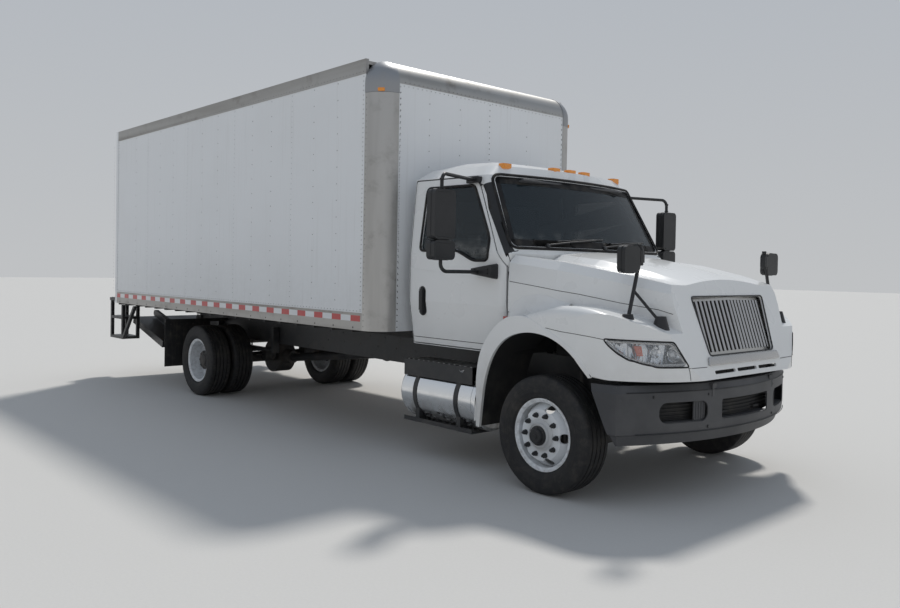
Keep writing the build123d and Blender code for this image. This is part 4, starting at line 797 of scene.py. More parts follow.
def flange_bolts(centre, side, count, radius, up, start, end):
    """A ring of hexagon bolt heads round a hub."""
    head = barrel(centre + Vector((0, side * start, up)), centre + Vector((0, side * end, up)), radius, 6)
    return around(head, count, centre)


def front_wheel_trim(side, name):
    """Nuts, hub cap, the ring round it, its bolts and the valve of a front wheel."""
    centre = Vector((AXLE_X, side * (DISC_Y + 0.0005), AXLE_Z))
    ring = [(-0.002, 0.0826), (-0.002, 0.1085), (0.003, 0.1085), (0.006, 0.1060), (0.008, 0.0990),
            (0.016, 0.0900), (0.033, 0.0860), (0.035, 0.0840), (0.035, 0.0826), (-0.002, 0.0826)]
    cap = [(0.0295, 0.0), (0.0295, 0.0700), (0.033, 0.0700), (0.040, 0.0690), (0.044, 0.0560), (0.060, 0.0540),
           (0.066, 0.0500), (0.068, 0.0420), (0.066, 0.0400), (0.066, 0.0180), (0.070, 0.0160), (0.071, 0.0)]
    valve = [centre + Vector((0.165, -side * 0.020, 0.010)), centre + Vector((0.185, side * 0.004, 0.011))]
    for piece, parts, finish, angle in (
            ("nuts", tilted(wheel_nuts(centre, side), 18, centre), "trim_black", 30),
            ("hub_ring", turned(outward(ring, side), centre), "wheel_front", 35),
            ("hub_cap", turned(outward(cap, side), centre, 40), "trim_black", 35),
            ("cap_bolts", flange_bolts(centre, side, 6, 0.0050, 0.0625, 0.0400, 0.0490), "cast_metal", 30),
            ("valve", pipe(valve, 0.0040), "cast_metal", 35)):
        seated(f"front_{piece}_{name}", parts, finish, f"{name}_front_wheel", angle)


def rear_wheel_trim(side, name):
    """Nuts, and the axle's drive flange with its bolts, deep in the outer rear wheel."""
    centre = Vector((REAR_AXLE_X, side * (DUAL_Y + 0.0005), AXLE_Z))
    flange = [(0.1605, 0.0), (0.1605, 0.1120), (0.170, 0.1120), (0.174, 0.1080), (0.176, 0.0700),
              (0.186, 0.0640), (0.192, 0.0500), (0.194, 0.0)]
    for piece, parts, finish, angle in (
            ("nuts", wheel_nuts(centre, side), "trim_black", 30),
            ("hub_flange", turned(outward(flange, side), centre, 40), "cast_metal", 35),
            ("flange_bolts", flange_bolts(centre, side, 8, 0.0085, 0.0930, 0.172, 0.186), "cast_metal", 30)):
        seated(f"rear_{piece}_{name}", parts, finish, f"{name}_rear_wheels", angle)


def rivets(start, out, *runs, radius=0.0048):
    """Domed rivets, modelled once and repeated along each run of a count and a step."""
    piece = turned([(-0.0004, radius), (0.0008, radius * 0.94), (0.0020, radius * 0.55), (0.0024, 0.0)],
                   start, 6, out)
    for count, step in runs:
        row(piece, count, step)
    return piece


def side_rivets():
    """Rivet lines of both side panels: post columns, close sheet joints, edges and rails."""
    first = PANEL_FRONT_X - EDGE_LINE
    length = PANEL_FRONT_X - PANEL_REAR_X
    edge_step = length - 0.045
    along = (int(edge_step / RIVET_PITCH), (-RIVET_PITCH, 0, 0))
    columns = (int(length / POST_PITCH) - 1, (-POST_PITCH, 0, 0))
    parts = [rivets((first - back, -y, z), (0, -1, 0), *runs, radius=radius) for back, y, z, radius, runs in (
        (POST_PITCH, PANEL_Y, PANEL_LOW_Z + 0.10, 0.0048, [columns, (14, (0, 0, 0.150))]),
        (3 * POST_PITCH, PANEL_Y, PANEL_LOW_Z + 0.05, 0.0042,
         [(5, (-3 * POST_PITCH, 0, 0)), (40, (0, 0, 0.050))]),
        (0, PANEL_Y, PANEL_LOW_Z + 0.030, 0.0048, [(2, (-edge_step, 0, 0)), (51, (0, 0, 0.0405))]),
        (0, PANEL_Y, PANEL_LOW_Z + 0.016, 0.004, [along]),
        (0, BOX_SIDE_Y, PANEL_HIGH_Z + 0.022, 0.004, [along]),
        (0.10, BOX_SIDE_Y, 1.045, 0.009, [(19, (-0.305, 0, 0))]))]
    seated("side_rivets", both_sides(joined(parts)), "cast_metal")


def sheet_joints():
    """Lapped sheet edges on the sides and the front wall, each a thin strip with a chamfered edge."""
    joints = [PANEL_FRONT_X - EDGE_LINE - 3 * i * POST_PITCH for i in range(1, 5)]
    laps = [block((x - 0.022, -PANEL_Y - 0.0012, PANEL_LOW_Z + 0.004),
                  (x + 0.022, -PANEL_Y + 0.002, PANEL_HIGH_Z - 0.004), 0.0008, 1) for x in joints]
    seated("side_laps", both_sides(joined(laps)), "box_paint")
    lap = block((BOX_FRONT_X - 0.006, -0.010, 1.030), (BOX_FRONT_X - 0.0026, 0.045, 3.166), 0.0008, 1)
    seated("front_lap", lap, "box_paint")


def front_wall_rivets():
    columns, close = (14, (0, 0, 0.140)), (41, (0, 0, 0.0520))
    parts = [rivets((BOX_FRONT_X - inset, y, z), (1, 0, 0), *runs, radius=radius)
             for inset, y, z, radius, runs in (
                 (0.004, -0.735, 1.22, 0.0048, [(2, (0, 0.370, 0)), columns]),
                 (0.004, 0.540, 1.22, 0.0048, [columns]),
                 (0.0028, 0.018, 1.06, 0.0056, [close]),
                 (0.004, -1.070, 1.06, 0.0048, [(2, (0, 2.140, 0)), close]),
                 (0.004, -1.030, 3.152, 0.004, [(41, (0, 0.0515, 0))]))]
    seated("front_wall_rivets", parts, "cast_metal")


def cap_casting_painted_reflection(side, name):
    """The cast cap where a corner post meets the header, a thin round shell with a lip."""
    centre = Vector((PANEL_FRONT_X, side * (BOX_SIDE_Y - 0.210), 3.170))
    low, radius, steps = -0.088, 0.2128, 8
    rise = [math.radians(90 * i / steps) for i in range(steps)]
    outline = [(radius - 0.004, low), (radius, low + 0.003), (radius, low + 0.010), (radius, -0.02)]
    outline += [(radius * math.cos(a), radius * math.sin(a)) for a in rise] + [(0.0, radius)]
    cap = thread([centre + Vector((r, 0, z)) for r, z in outline])
    bpy.ops.mesh.select_all(action="SELECT")
    bpy.ops.mesh.spin(steps=10, angle=-side * math.radians(90), center=centre, axis=(0, 0, 1))
    tidy_mesh(cap, 0.0002)
    if min(v.co.y * side for v in cap.data.vertices) < centre.y * side - 0.01:
        take(cap)
        bpy.ops.transform.mirror(constraint_axis=(False, True, False), center_override=centre)
        tidy_mesh(settle(cap))
    # Its finish paints a dark reflection into the cap's colour.
    seated(f"corner_cap_{name}", tidy_mesh(thickened(cap, 0.0025, 0.0)), "cap_casting_painted_reflection",
           angle=50)


def corner_rivets():
    """Rivet rows down both edges of each corner post and along the front header."""
    down, across = (41, (0, 0, RIVET_PITCH)), (41, (0, 0.051, 0))
    front, behind = BOX_FRONT_X - 0.0015, PANEL_FRONT_X + 0.018
    parts = []
    for side in SIDES:
        parts.append(rivets((behind, side * (BOX_SIDE_Y - 0.0008), 1.06), (0, side, 0), down, radius=0.0046))
        parts.append(rivets((front, side * 1.068, 1.06), (1, 0, 0), down, radius=0.0046))
    parts.append(rivets((front, -1.02, 3.184), (1, 0, 0), across))
    parts.append(rivets((behind, -1.02, TOP_Z - 0.001), (0, 0, 1), across))
    seated("corner_rivets", parts, "cast_metal")


def box_tape():
    """Reflective tape along the bottom rails and the rear sill, and plain marks at the rear's top corners."""
    back, front = BOX_REAR_X - 0.0009, BOX_REAR_X + 0.0002
    strips = [block((-4.17, side * (BOX_SIDE_Y - 0.0002), 1.100), (1.522, side * (BOX_SIDE_Y + 0.0009), 1.152))
              for side in SIDES]
    strips += [block((back, y, 1.048), (front, y + 0.300, 1.098)) for y in (-1.245, 0.945)]
    seated("box_tape", strips, "tape", angle=30)
    corners = []
    for side in SIDES:
        y = side * 1.250
        corners.append(block((back, y - side * 0.150, 3.290), (front, y + side * 0.025, 3.340)))
        corners.append(block((back, y - 0.025, 3.140), (front, y + 0.025, 3.290)))
    seated("corner_tape", corners, "plate_blank", angle=30)


def box_roof_sheets():
    """Lapped roof sheets with their rivets."""
    joints = [PANEL_FRONT_X - 1.20 * (i + 1) for i in range(4)]
    parts = [block((x - 0.02, -1.255, TOP_Z - 0.0305), (x + 0.02, 1.255, TOP_Z - 0.0135), 0.002, 1)
             for x in joints]
    parts.append(rivets((PANEL_FRONT_X - 0.05, -1.277, TOP_Z - 0.0005), (0, 0, 1), (2, (0, 2.554, 0)),
                        (56, (-0.1015, 0, 0))))
    seated("roof_sheets", parts, "box_aluminium")


def bead(name, points, radius, finish, body="chassis"):
    """A thin round seam or gasket along points."""
    seated(name, pipe(points, radius), finish, body, 60)


def beside(outline, side, y=1.2):
    """Points at one place across, from distances behind the axle and heights."""
    return [(AXLE_X - back, side * y, z) for back, z in outline]


def cut_corners(points, reach, steps=4):
    """Rounds the corners of a closed outline with short arcs, and closes it."""
    points = [Vector(p) for p in points]
    made = []
    for i, corner in enumerate(points):
        before = points[i - 1] - corner
        after = points[(i + 1) % len(points)] - corner
        near = min(reach, before.length / 2, after.length / 2)
        start, end = corner + before.normalized() * near, corner + after.normalized() * near
        made += [start * (1 - t) ** 2 + corner * (2 * t * (1 - t)) + end * t ** 2
                 for t in [k / steps for k in range(steps + 1)]]
    return closed(made)


def mirror_pane(a, b, reach):
    """A mirror's glass with its corners rounded."""
    glass = block(a, b)
    pick(glass, "EDGE", lambda place, along: abs(along.x) > 0.9)
    bpy.ops.mesh.bevel(offset=reach, segments=5, affect="EDGES")
    let_go()
    return glass


def mirror_rim(x, y, z, half_wide, half_tall, reach, radius):
    """A thin bead round the housing of a mirror."""
    return pipe(cut_corners([(x, y + a * half_wide, z + b * half_tall) for a, b in SQUARE], reach), radius)


DOOR_WINDOW = [(1.500, 1.735), (1.470, 2.240), (0.960, 2.240), (0.705, 1.830), (0.705, 1.655), (0.875, 1.655),
               (1.060, 1.735)]
MIRROR_PANES = ((1.978, 0.370), (1.714, 0.146))
ARM_COLLARS = ((1.912, 0.010, 0.021, 0.002, 1), (1.9, 0.010, 0.021, 0.002, 1), (1.80, 0.010, 0.021, 0.002, 1),
               (1.775, 0.010, 0.021, 0.002, 1), (2.115, 0.014, 0.0185, 0.003, 1),
               (2.170, 0.014, 0.0185, 0.003, 1), (2.235, 0.014, 0.0185, 0.003, 1))
ARM_BOLTS = ((2.545, 0.990, 2.290), (2.615, 0.990, 2.290), (2.760, 1.112, 1.575), (2.900, 1.112, 1.575),
             (2.760, 1.112, 1.545), (2.900, 1.112, 1.545))


def door_mirror(side, name):
    """Glass, rims, ribs, collars and bolts of a door's mirror."""
    y = side * 1.474
    faces, trim = [], []
    for z, height in MIRROR_PANES:
        half = height / 2
        glass = mirror_pane((2.7205, y - 0.090, z - half + 0.014), (2.7260, y + 0.090, z + half - 0.014), 0.026)
        faces.append(rounded(glass, 0.0012, 1, 60))
        trim.append(mirror_rim(2.7700, y, z, 0.1045, half + 0.0005, 0.040, 0.0028))
        trim += [block((2.8140, y - 0.07, rib - 0.003), (2.8175, y + 0.07, rib + 0.003), 0.001, 1)
                 for rib in (z - half + 0.02, z + half - 0.02)]
    for z, tall, radius, edge, segments in ARM_COLLARS:
        trim.append(barrel((2.770, y, z), (2.770, y, z + tall), radius, 16, edge=edge, segments=segments))
    for x, at, z in ARM_BOLTS:
        trim.append(barrel((x, side * at, z), (x, side * (at + 0.010), z), 0.009, 6, edge=0.0015, segments=1))
    seated(f"door_mirror_glass_{name}", faces, "mirror", f"{name}_door")
    seated(f"door_mirror_trim_{name}", trim, "trim_black", f"{name}_door")


def door_trim(side, name):
    """Window seal, sill line, crease, handle detail and inner lining of a door."""
    body, node = f"{name}_door", f"door_{name}"
    away = (0, -side, 0)
    widened = [(b + (0.012 if b > 1.2 else -0.010), z + (0.011 if z > 2.0 else -0.011)) for b, z in DOOR_WINDOW]
    seal = on_surface(node, cut_corners(beside(widened, side), 0.045), away, 0.05, 0.0005)
    low = on_surface(node, beside([(1.632, 0.992), (0.765, 0.992)], side), away, 0.05)
    crease = on_surface(node, beside([(1.628, 1.575), (0.9, 1.520), (0.530, 1.498)], side), away, 0.05, -0.0012)
    bead(f"door_seal_{name}", closed(seal), 0.011, "seal_rubber", body)
    bead(f"door_sill_line_{name}", low, 0.0026, "seal_rubber", body)
    bead(f"door_crease_{name}", crease, 0.0028, "cab_paint", body)
    door_mirror(side, name)
    grip = block((2.0405, side * 1.064, 1.225), (2.0800, side * 1.0665, 1.385), 0.0012, 1)
    lock = turned([(0.0, 0.0), (0.0, 0.0125), (0.0035, 0.0120), (0.0045, 0.0085), (0.0045, 0.0)],
                  (2.060, side * 1.0385, 1.196), 20, (0, side, 0))
    seated(f"door_handle_detail_{name}", [grip, lock], "trim_black", body)
    lining = keep_faces(copied(node), lambda place, normal: normal.y * side < -0.75 and abs(place.y) < 1.02)
    parts = [thickened(lining, 0.004),
             block((2.10, side * 0.915, 1.335), (2.72, side * 0.985, 1.395), 0.016, 3),
             block((2.12, side * 0.925, 1.02), (2.68, side * 0.988, 1.13), 0.012, 3),
             block((2.62, side * 0.935, 1.45), (2.76, side * 0.985, 1.50), 0.010, 2)]
    seated(f"door_lining_{name}", parts, "lining", body)


def window_gasket(name, outline, heading, radius):
    """A rubber gasket laid on the cab round a window."""
    laid = on_surface("cab_shell", cut_corners(outline, 0.07), (heading, 0, 0), 0.08, 0.0005)
    bead(name, closed(laid), radius, "seal_rubber")


def windshield_trim():
    """Gaskets round the windshield and the rear window, and the dark border of the windshield."""
    window_gasket("windshield_gasket", [(4.2, -0.985, 1.745), (4.2, -0.900, 2.335), (4.2, 0.900, 2.335),
                                        (4.2, 0.985, 1.745)], -1, 0.013)
    glass = keep_faces(copied("cab_glass"), lambda place, normal: place.x > 2.5 and normal.x > 0.2)
    cuts = (((0, -0.915, 1.760), (0, 1.0, -0.145)), ((0, 0.915, 1.760), (0, -1.0, -0.145)),
            ((0, 0, 1.815), (0, 0, 1)), ((0, 0, 2.262), (0, 0, -1)))
    frit = joined([cut_off(duplicate(glass), place, direction) for place, direction in cuts])
    bpy.data.objects.remove(glass)
    edit_all(frit)
    bpy.ops.transform.translate(value=(0.0012, 0, 0.0006))
    seated("windshield_frit", frit, "seal_rubber", angle=60)
    window_gasket("rear_window_gasket", [(1.7, -0.612, 1.758), (1.7, 0.612, 1.758), (1.7, 0.612, 2.202),
                                         (1.7, -0.612, 2.202)], 1, 0.012)


def wipers():
    """Two wipers parked along the foot of the windshield, with their blades and hinge caps."""
    parts = []
    reach = 0.56

    def on_glass(spots, lift):
        laid = [surface_point("cab_glass", (4.2, y, z), (-1, 0, 0)) for y, z in spots]
        return [p + Vector(lift(k)) for k, p in enumerate(laid)]

    for y in (-0.62, 0.05):
        arm = on_glass([(y, 1.772), (y + reach * 0.45, 1.800), (y + reach, 1.826)],
                       lambda k: (0.020 + 0.006 * k, 0, 0.004))
        blade = on_glass([(y + reach * t, 1.800 + 0.03 * t) for t in (0.22, 0.5, 0.75, 1.0, 1.25)],
                         lambda k: (0.010, 0, 0.002))
        foot = arm[0] + Vector((-0.004, 0, -0.010))
        parts += [pipe(arm, 0.0065), pipe(blade, 0.0055),
                  pipe([p + Vector((0.010, 0, 0.004)) for p in blade[1:4]], 0.0045),
                  barrel(foot - Vector((0.02, 0, 0.01)), foot + Vector((0.014, 0, 0.006)),
                         0.020, 20, edge=0.004)]
    seated("wipers", parts, "trim_black")


def cab_lining():
    """Headliner, back wall and pillar linings, drawn in from the cab shell, with two visors and a floor mat."""
    middle = Vector((2.46, 0, 1.72))
    lining = keep_faces(copied("cab_shell"), lambda place, normal:
                        normal.dot((place - middle).normalized()) < -0.35 and place.z > 0.98)
    seated("cab_lining", thickened(lining, 0.005), "lining")
    parts = [tilted(block((2.70, y - 0.24, 2.275), (2.84, y + 0.24, 2.295), 0.008, 3), 14, (2.77, y, 2.285))
             for y in (-0.42, 0.42)]
    parts += [block((2.42, -0.30, 2.335), (2.66, 0.30, 2.385), 0.015, 3),
              block((1.92, -0.86, 0.987), (2.92, 0.86, 0.999), 0.004, 1)]
    seated("cab_visors", parts, "cabin_plastic")


def dash_detail():
    """Instrument hood, gauges, vents, centre stack, glove box, knobs, gear lever and stalk at the dashboard."""
    parts = [block((2.655, 0.270, 1.560), (2.830, 0.690, 1.705), 0.030, 4)]
    parts += [tilted(block((2.675, y - 0.055, 1.545), (2.705, y + 0.055, 1.600), 0.006), -40, (2.69, y, 1.572))
              for y in (-0.74, -0.30, -0.05, 0.20, 0.74)]
    parts += [block((2.655, -0.20, 1.330), (2.735, 0.18, 1.545), 0.018, 3),
              block((2.660, -0.76, 1.380), (2.700, -0.30, 1.490), 0.010, 3)]
    parts += [barrel((2.660, y, 1.40), (2.635, y, 1.405), 0.020, 20, 0.017, 0.003)
              for y in (-0.12, -0.01, 0.10)]
    parts += [pipe([(2.45, 0.02, 1.0), (2.44, 0.02, 1.25), (2.46, 0.03, 1.36)], 0.011, 3),
              turned([(-0.035, 0.0), (-0.030, 0.018), (0.0, 0.028), (0.026, 0.020), (0.034, 0.0)],
                     (2.463, 0.032, 1.385), 20, (0, 0, 1)),
              pipe([(2.60, 0.48, 1.53), (2.585, 0.60, 1.575), (2.565, 0.665, 1.60)], 0.007, 3)]
    seated("dash_detail", parts, "cabin_plastic")
    faces = [turned([(0.0, 0.0), (0.0, r), (0.004, r), (0.006, r - 0.004), (0.002, r - 0.008), (0.002, 0.0)],
                    (2.655, y, 1.628), 28, (-1, 0, 0.25))
             for y, r in ((0.40, 0.050), (0.52, 0.050), (0.61, 0.028))]
    seated("gauges", faces, "trim_black")


def sheet_between(rows, wall):
    """A thin panel through rows of points, all rows with as many points."""
    wide = len(rows[0])
    mesh = bpy.data.meshes.new("sheet")
    faces = [(r * wide + k, (r + 1) * wide + k, (r + 1) * wide + k + 1, r * wide + k + 1)
             for r in range(len(rows) - 1) for k in range(wide - 1)]
    mesh.from_pydata([tuple(place) for row_points in rows for place in row_points], [], faces)
    piece = bpy.data.objects.new("sheet", mesh)
    bpy.context.collection.objects.link(piece)
    edit_all(piece)
    bpy.ops.mesh.normals_make_consistent(inside=False)
    let_go()
    return thickened(piece, wall, 0.0)


BONNET_START_X = 3.062


def first_on_hood(x, side, heights, test):
    """The first place on the hood, of those heights, whose distance from the middle passes the test."""
    for z in heights:
        place = surface_point("hood", (x, side * 1.5, z), (0, -side, 0))
        if place is not None and test(abs(place.y)):
            return place
    return None


def fender_shoulders():
    """Panels that sweep from the bonnet's side down and out to the top of each fender."""
    panels = []
    for side in SIDES:
        rows = []
        for x in [2.995 + 0.025 * step for step in range(26)]:
            outer = first_on_hood(x, side, [1.335 - 0.01 * k for k in range(40)], lambda y: y > 1.10)
            if outer is None:
                continue
            outer = Vector((x, side * (abs(outer.y) - 0.004), outer.z - 0.003))
            inner = None
            if x > BONNET_START_X:
                inner = first_on_hood(x, side, [1.20 + 0.01 * k for k in range(24)], lambda y: y < 1.06)
            if inner is None:
                inner = Vector((x, side * 1.066, outer.z + 0.012))
            else:
                rise = max(0.006, min(0.075, 0.020 + (x - BONNET_START_X) * 0.5, 0.006 + (3.60 - x) * 0.28))
                inner = Vector((x, side * (abs(inner.y) + 0.0015), inner.z + rise))
            bend = Vector((x, side * (abs(inner.y) + 0.030), outer.z + 0.012))
            steps = [i / 8 for i in range(9)]
            rows.append([outer * (1 - t) ** 2 + bend * 2 * t * (1 - t) + inner * t * t for t in steps])
        panels.append(sheet_between(rows, 0.003))
    seated("fender_shoulders", panels, "cab_paint", "tilt_hood", 60)


# The edge of the wheel arch: distance behind the axle, height, and the width of the flange there.
ARCH = [(0.625, 0.385, 0.020), (0.606, 0.560, 0.042), (0.578, 0.740, 0.076), (0.520, 0.905, 0.104),
        (0.425, 1.035, 0.112), (0.300, 1.112, 0.122), (0.150, 1.145, 0.096), (0.000, 1.138, 0.040),
        (-0.130, 1.100, 0.022), (-0.250, 1.032, 0.018), (-0.350, 0.945, 0.014), (-0.415, 0.872, 0.010)]
FLANGE_Y = 1.1855


def arch_route(inset, share=0.0):
    """The smooth edge of the wheel arch, moved outward by a distance and by a share of the flange's width."""
    centre = Vector((AXLE_X - 0.06, 0, 0.50))
    points = [Vector((AXLE_X - back, 0, z)) for back, z, width in ARCH]
    routed = []
    for k, here in enumerate(points):
        along = points[min(k + 1, len(points) - 1)] - points[max(k - 1, 0)]
        away = Vector((-along.z, 0, along.x)).normalized()
        if away.dot(here - centre) < 0:
            away = -away
        routed.append(here + away * (inset + ARCH[k][2] * share))
    return smoothed(routed)


def smoothed(points, count=4):
    """More points between those given, on a curve that runs through them."""
    curve = []
    last = len(points) - 1
    for k in range(last):
        before, here, there, after = points[max(k - 1, 0)], points[k], points[k + 1], points[min(k + 2, last)]
        for t in [i / count for i in range(count)]:
            curve.append(here * 0.5 * (2 - 5 * t * t + 3 * t ** 3) + there * 0.5 * (t + 4 * t * t - 3 * t ** 3)
                         + before * 0.5 * (-t + 2 * t * t - t ** 3) + after * 0.5 * (t ** 3 - t * t))
    return curve + [points[-1]]


def arch_trim():
    """Smooth flanges round the wheel arches, turned in over the liners, and the dark wheel housings inside."""
    flanges, housings = [], []
    routes = [arch_route(inset, share) for inset, share in ((-0.012, 0.0), (0, 0.5), (0, 1.0), (0.005, 1.0))]
    for side in SIDES:
        rows = []
        reach = FLANGE_Y
        for inner, middle, outer, over in zip(*routes):
            found = surface_point("hood", (outer.x, side * 1.6, outer.z + 0.006), (0, -side, 0))
            if found is not None and abs(found.y) > 1.10 and outer.x > 3.40:
                reach = min(FLANGE_Y, abs(found.y) + 0.0006)
            turn = max(0.0, min(1.0, (3.22 - outer.x) / 0.10)) * max(0.0, min(1.0, (outer.z - 0.60) / 0.30))
            rows.append([Vector((p.x, side * (reach + out), p.z)) for p, out in (
                (inner, -0.022), (inner, 0), (middle, 0.0020), (outer, 0.0008), (over, -0.006),
                (over, -0.010 - 0.105 * turn))])
        flanges.append(sheet_between(rows, 0.003))
        rows = [[Vector((p.x, side * y, p.z)) for y in (1.168, 1.08, 0.96, 0.82, 0.70)]
                for p in arch_route(0.006)]
        housings.append(sheet_between(rows, 0.004))
    seated("arch_flanges", flanges, "cab_paint", "tilt_hood", 50)
    seated("wheel_housings", housings, "underside", "tilt_hood", 50)


PILLAR_REAR = [(3.030, 1.60), (3.000, 1.690), (2.940, 1.800), (2.872, 1.930), (2.800, 2.060), (2.735, 2.180),
               (2.690, 2.262)]
PILLAR_FRONT = [(3.120, 1.66), (3.085, 1.745), (3.030, 1.850), (2.963, 1.970), (2.895, 2.090), (2.835, 2.200),
                (2.785, 2.290)]


def pillar_bands():
    """Black bands on the windshield pillars, between the door's seam and the gasket."""
    bands = []
    for side in SIDES:
        look = Vector((-0.55, -side * 0.8, -0.25)).normalized()
        rows = []
        for (x0, z0), (x1, z1) in zip(PILLAR_REAR, PILLAR_FRONT):
            places = []
            for t in [i / 4 for i in range(5)]:
                aim = Vector((x0 + (x1 - x0) * t, side * (1.022 - 0.035 * t), z0 + (z1 - z0) * t))
                place = surface_point("cab_shell", aim - look * 0.5, look)
                places.append(place - look * 0.0022 if place is not None else aim)
            rows.append(places)
        bands.append(sheet_between(rows, 0.002))
    seated("pillar_bands", bands, "trim_black", angle=60)


BONNET_SEAM = [(3.062, 1.490), (3.356, 1.455), (3.678, 1.412), (3.959, 1.363), (4.197, 1.325), (4.285, 1.298)]
LAMP_SEAM = [(3.560, 1.176), (3.692, 1.160), (3.823, 1.152), (3.935, 1.141), (4.020, 1.128)]
NOSE_SEAMS = ([(0.738, 0.968), (0.722, 0.925), (0.712, 0.868)], [(0.730, 0.948), (0.520, 0.944)])


def hood_seams():
    """Joints of the hood moulding along the bonnet, to the lamp and beside the nose, and the hood's latches."""
    seams, latches = [], []
    for route in (BONNET_SEAM, LAMP_SEAM):
        for side in SIDES:
            laid = on_surface("hood", [(x, side * 1.4, z) for x, z in route], (0, -side, 0), 0.025)
            seams.append(pipe(laid, 0.0022, 1))
    for side in SIDES:
        for route in NOSE_SEAMS:
            laid = on_surface("hood", [(4.6, side * y, z) for y, z in route], (-1, 0, 0), 0.03)
            seams.append(pipe(laid, 0.0022, 1))
        latches.append(block((3.022, side * 1.040, 1.164), (3.070, side * 1.058, 1.226), 0.004))
    seated("hood_seams", seams, "seal_rubber", "tilt_hood", 60)
    seated("hood_latches", latches, "marker_red", "tilt_hood")


LAMP_OUTLINE = [(0.100, 0.960), (-0.105, 0.960), (0.005, 1.118), (0.450, 1.128), (0.420, 1.088), (0.365, 1.042),
                (0.300, 1.005), (0.200, 0.975)]
LAMP_MIDDLE = (0.150, 1.045)


def lamp_place(u, z, side, out=1.5):
    """A place on the plane that the lamp outline is drawn on, moved outward from the axle."""
    reach = math.sqrt(0.5)
    return Vector((AXLE_X + (out - u) * reach, side * (out + u) * reach, z))


def lamp_ring(side, node, scale, radius, lift):
    """A bead round the headlamp at a scale of its outline, laid on a node."""
    middle_u, middle_z = LAMP_MIDDLE
    outline = [lamp_place(middle_u + (u - middle_u) * (1 + (scale - 1) * 0.5),
                          middle_z + (z - middle_z) * scale, side)
               for u, z in LAMP_OUTLINE]
    return pipe(closed(on_surface(node, cut_corners(outline, 0.018, 3), (-1, -side, 0), 0.02, lift)), radius)


def headlamp_detail():
    """Inside each headlamp: a bright bowl, a bezel, reflectors with projectors, and an amber reflector."""
    bowl = keep_faces(copied("headlamps"), lambda place, normal:
                      normal.x + math.copysign(normal.y, place.y * normal.y) < 0.45)
    edit_all(bowl)
    bpy.ops.transform.shrink_fatten(value=-0.003)
    seated("lamp_bowls", thickened(bowl, 0.0012, -1.0), "lamp_bowl", "tilt_hood")
    rings, bezels, reflectors, bulbs, ambers = [], [], [], [], []
    for side in SIDES:
        inward = Vector((-1, -side, 0)).normalized()

        def inside(u, z, depth):
            return surface_point("headlamps", lamp_place(u, z, side), inward) + inward * depth

        rings.append(lamp_ring(side, "hood", 1.055, 0.0055, -0.001))
        bezels.append(lamp_ring(side, "headlamps", 0.86, 0.0065, -0.0085))
        facing = Vector((0.94, side * 0.34, 0)).normalized()
        for u, z, size in ((-0.005, 1.040, 1.0), (0.120, 1.050, 0.72)):
            spot = inside(u, z, 0.040)
            reflectors.append(turned([(-0.030, 0.0), (-0.028, 0.018), (-0.015, 0.036), (0.010, 0.050),
                                      (0.013, 0.053), (0.008, 0.055), (-0.018, 0.041), (-0.034, 0.020),
                                      (-0.036, 0.0)], spot, 28, facing, size))
            bulbs.append(turned([(-0.024, 0.0), (-0.024, 0.020), (-0.006, 0.023), (0.004, 0.018),
                                 (0.010, 0.009), (0.011, 0.0)], spot, 20, facing, size))
        places = [inside(u, z, 0.016)
                  for u, z in ((0.212, 1.092), (0.262, 1.092), (0.240, 1.026), (0.200, 1.026))]
        ambers.append(rounded(plate(places, inward * 0.008), 0.002, 1))
    for name, parts, finish, slot in (("gaskets", rings, "seal_rubber", "lamp_lens"),
                                      ("bezels", bezels, "strip_polished", "lamp_lens"),
                                      ("reflectors", reflectors, "chrome", "lamp_lens"),
                                      ("projectors", bulbs, "clear_projector", "lamp_lens"),
                                      ("ambers", ambers, "side_reflector", "amber_lens")):
        seated(f"lamp_{name}", parts, finish, "tilt_hood")


NOSE_TILT = math.radians(18)
NOSE_OUT = Vector((math.cos(NOSE_TILT), 0, math.sin(NOSE_TILT)))
BAR_PITCH = 0.050
# How far the grille's face falls back toward its sides, for each metre across.
GRILLE_SWEEP = 0.028 / 0.495


def on_nose(y, up, out=0.0):
    """A place on the tilted face of the nose: across, up along it, and out from it."""
    s, c = math.sin(NOSE_TILT), math.cos(NOSE_TILT)
    return Vector((4.425 - up * s + out * c, y, 0.935 + up * c + out * s))


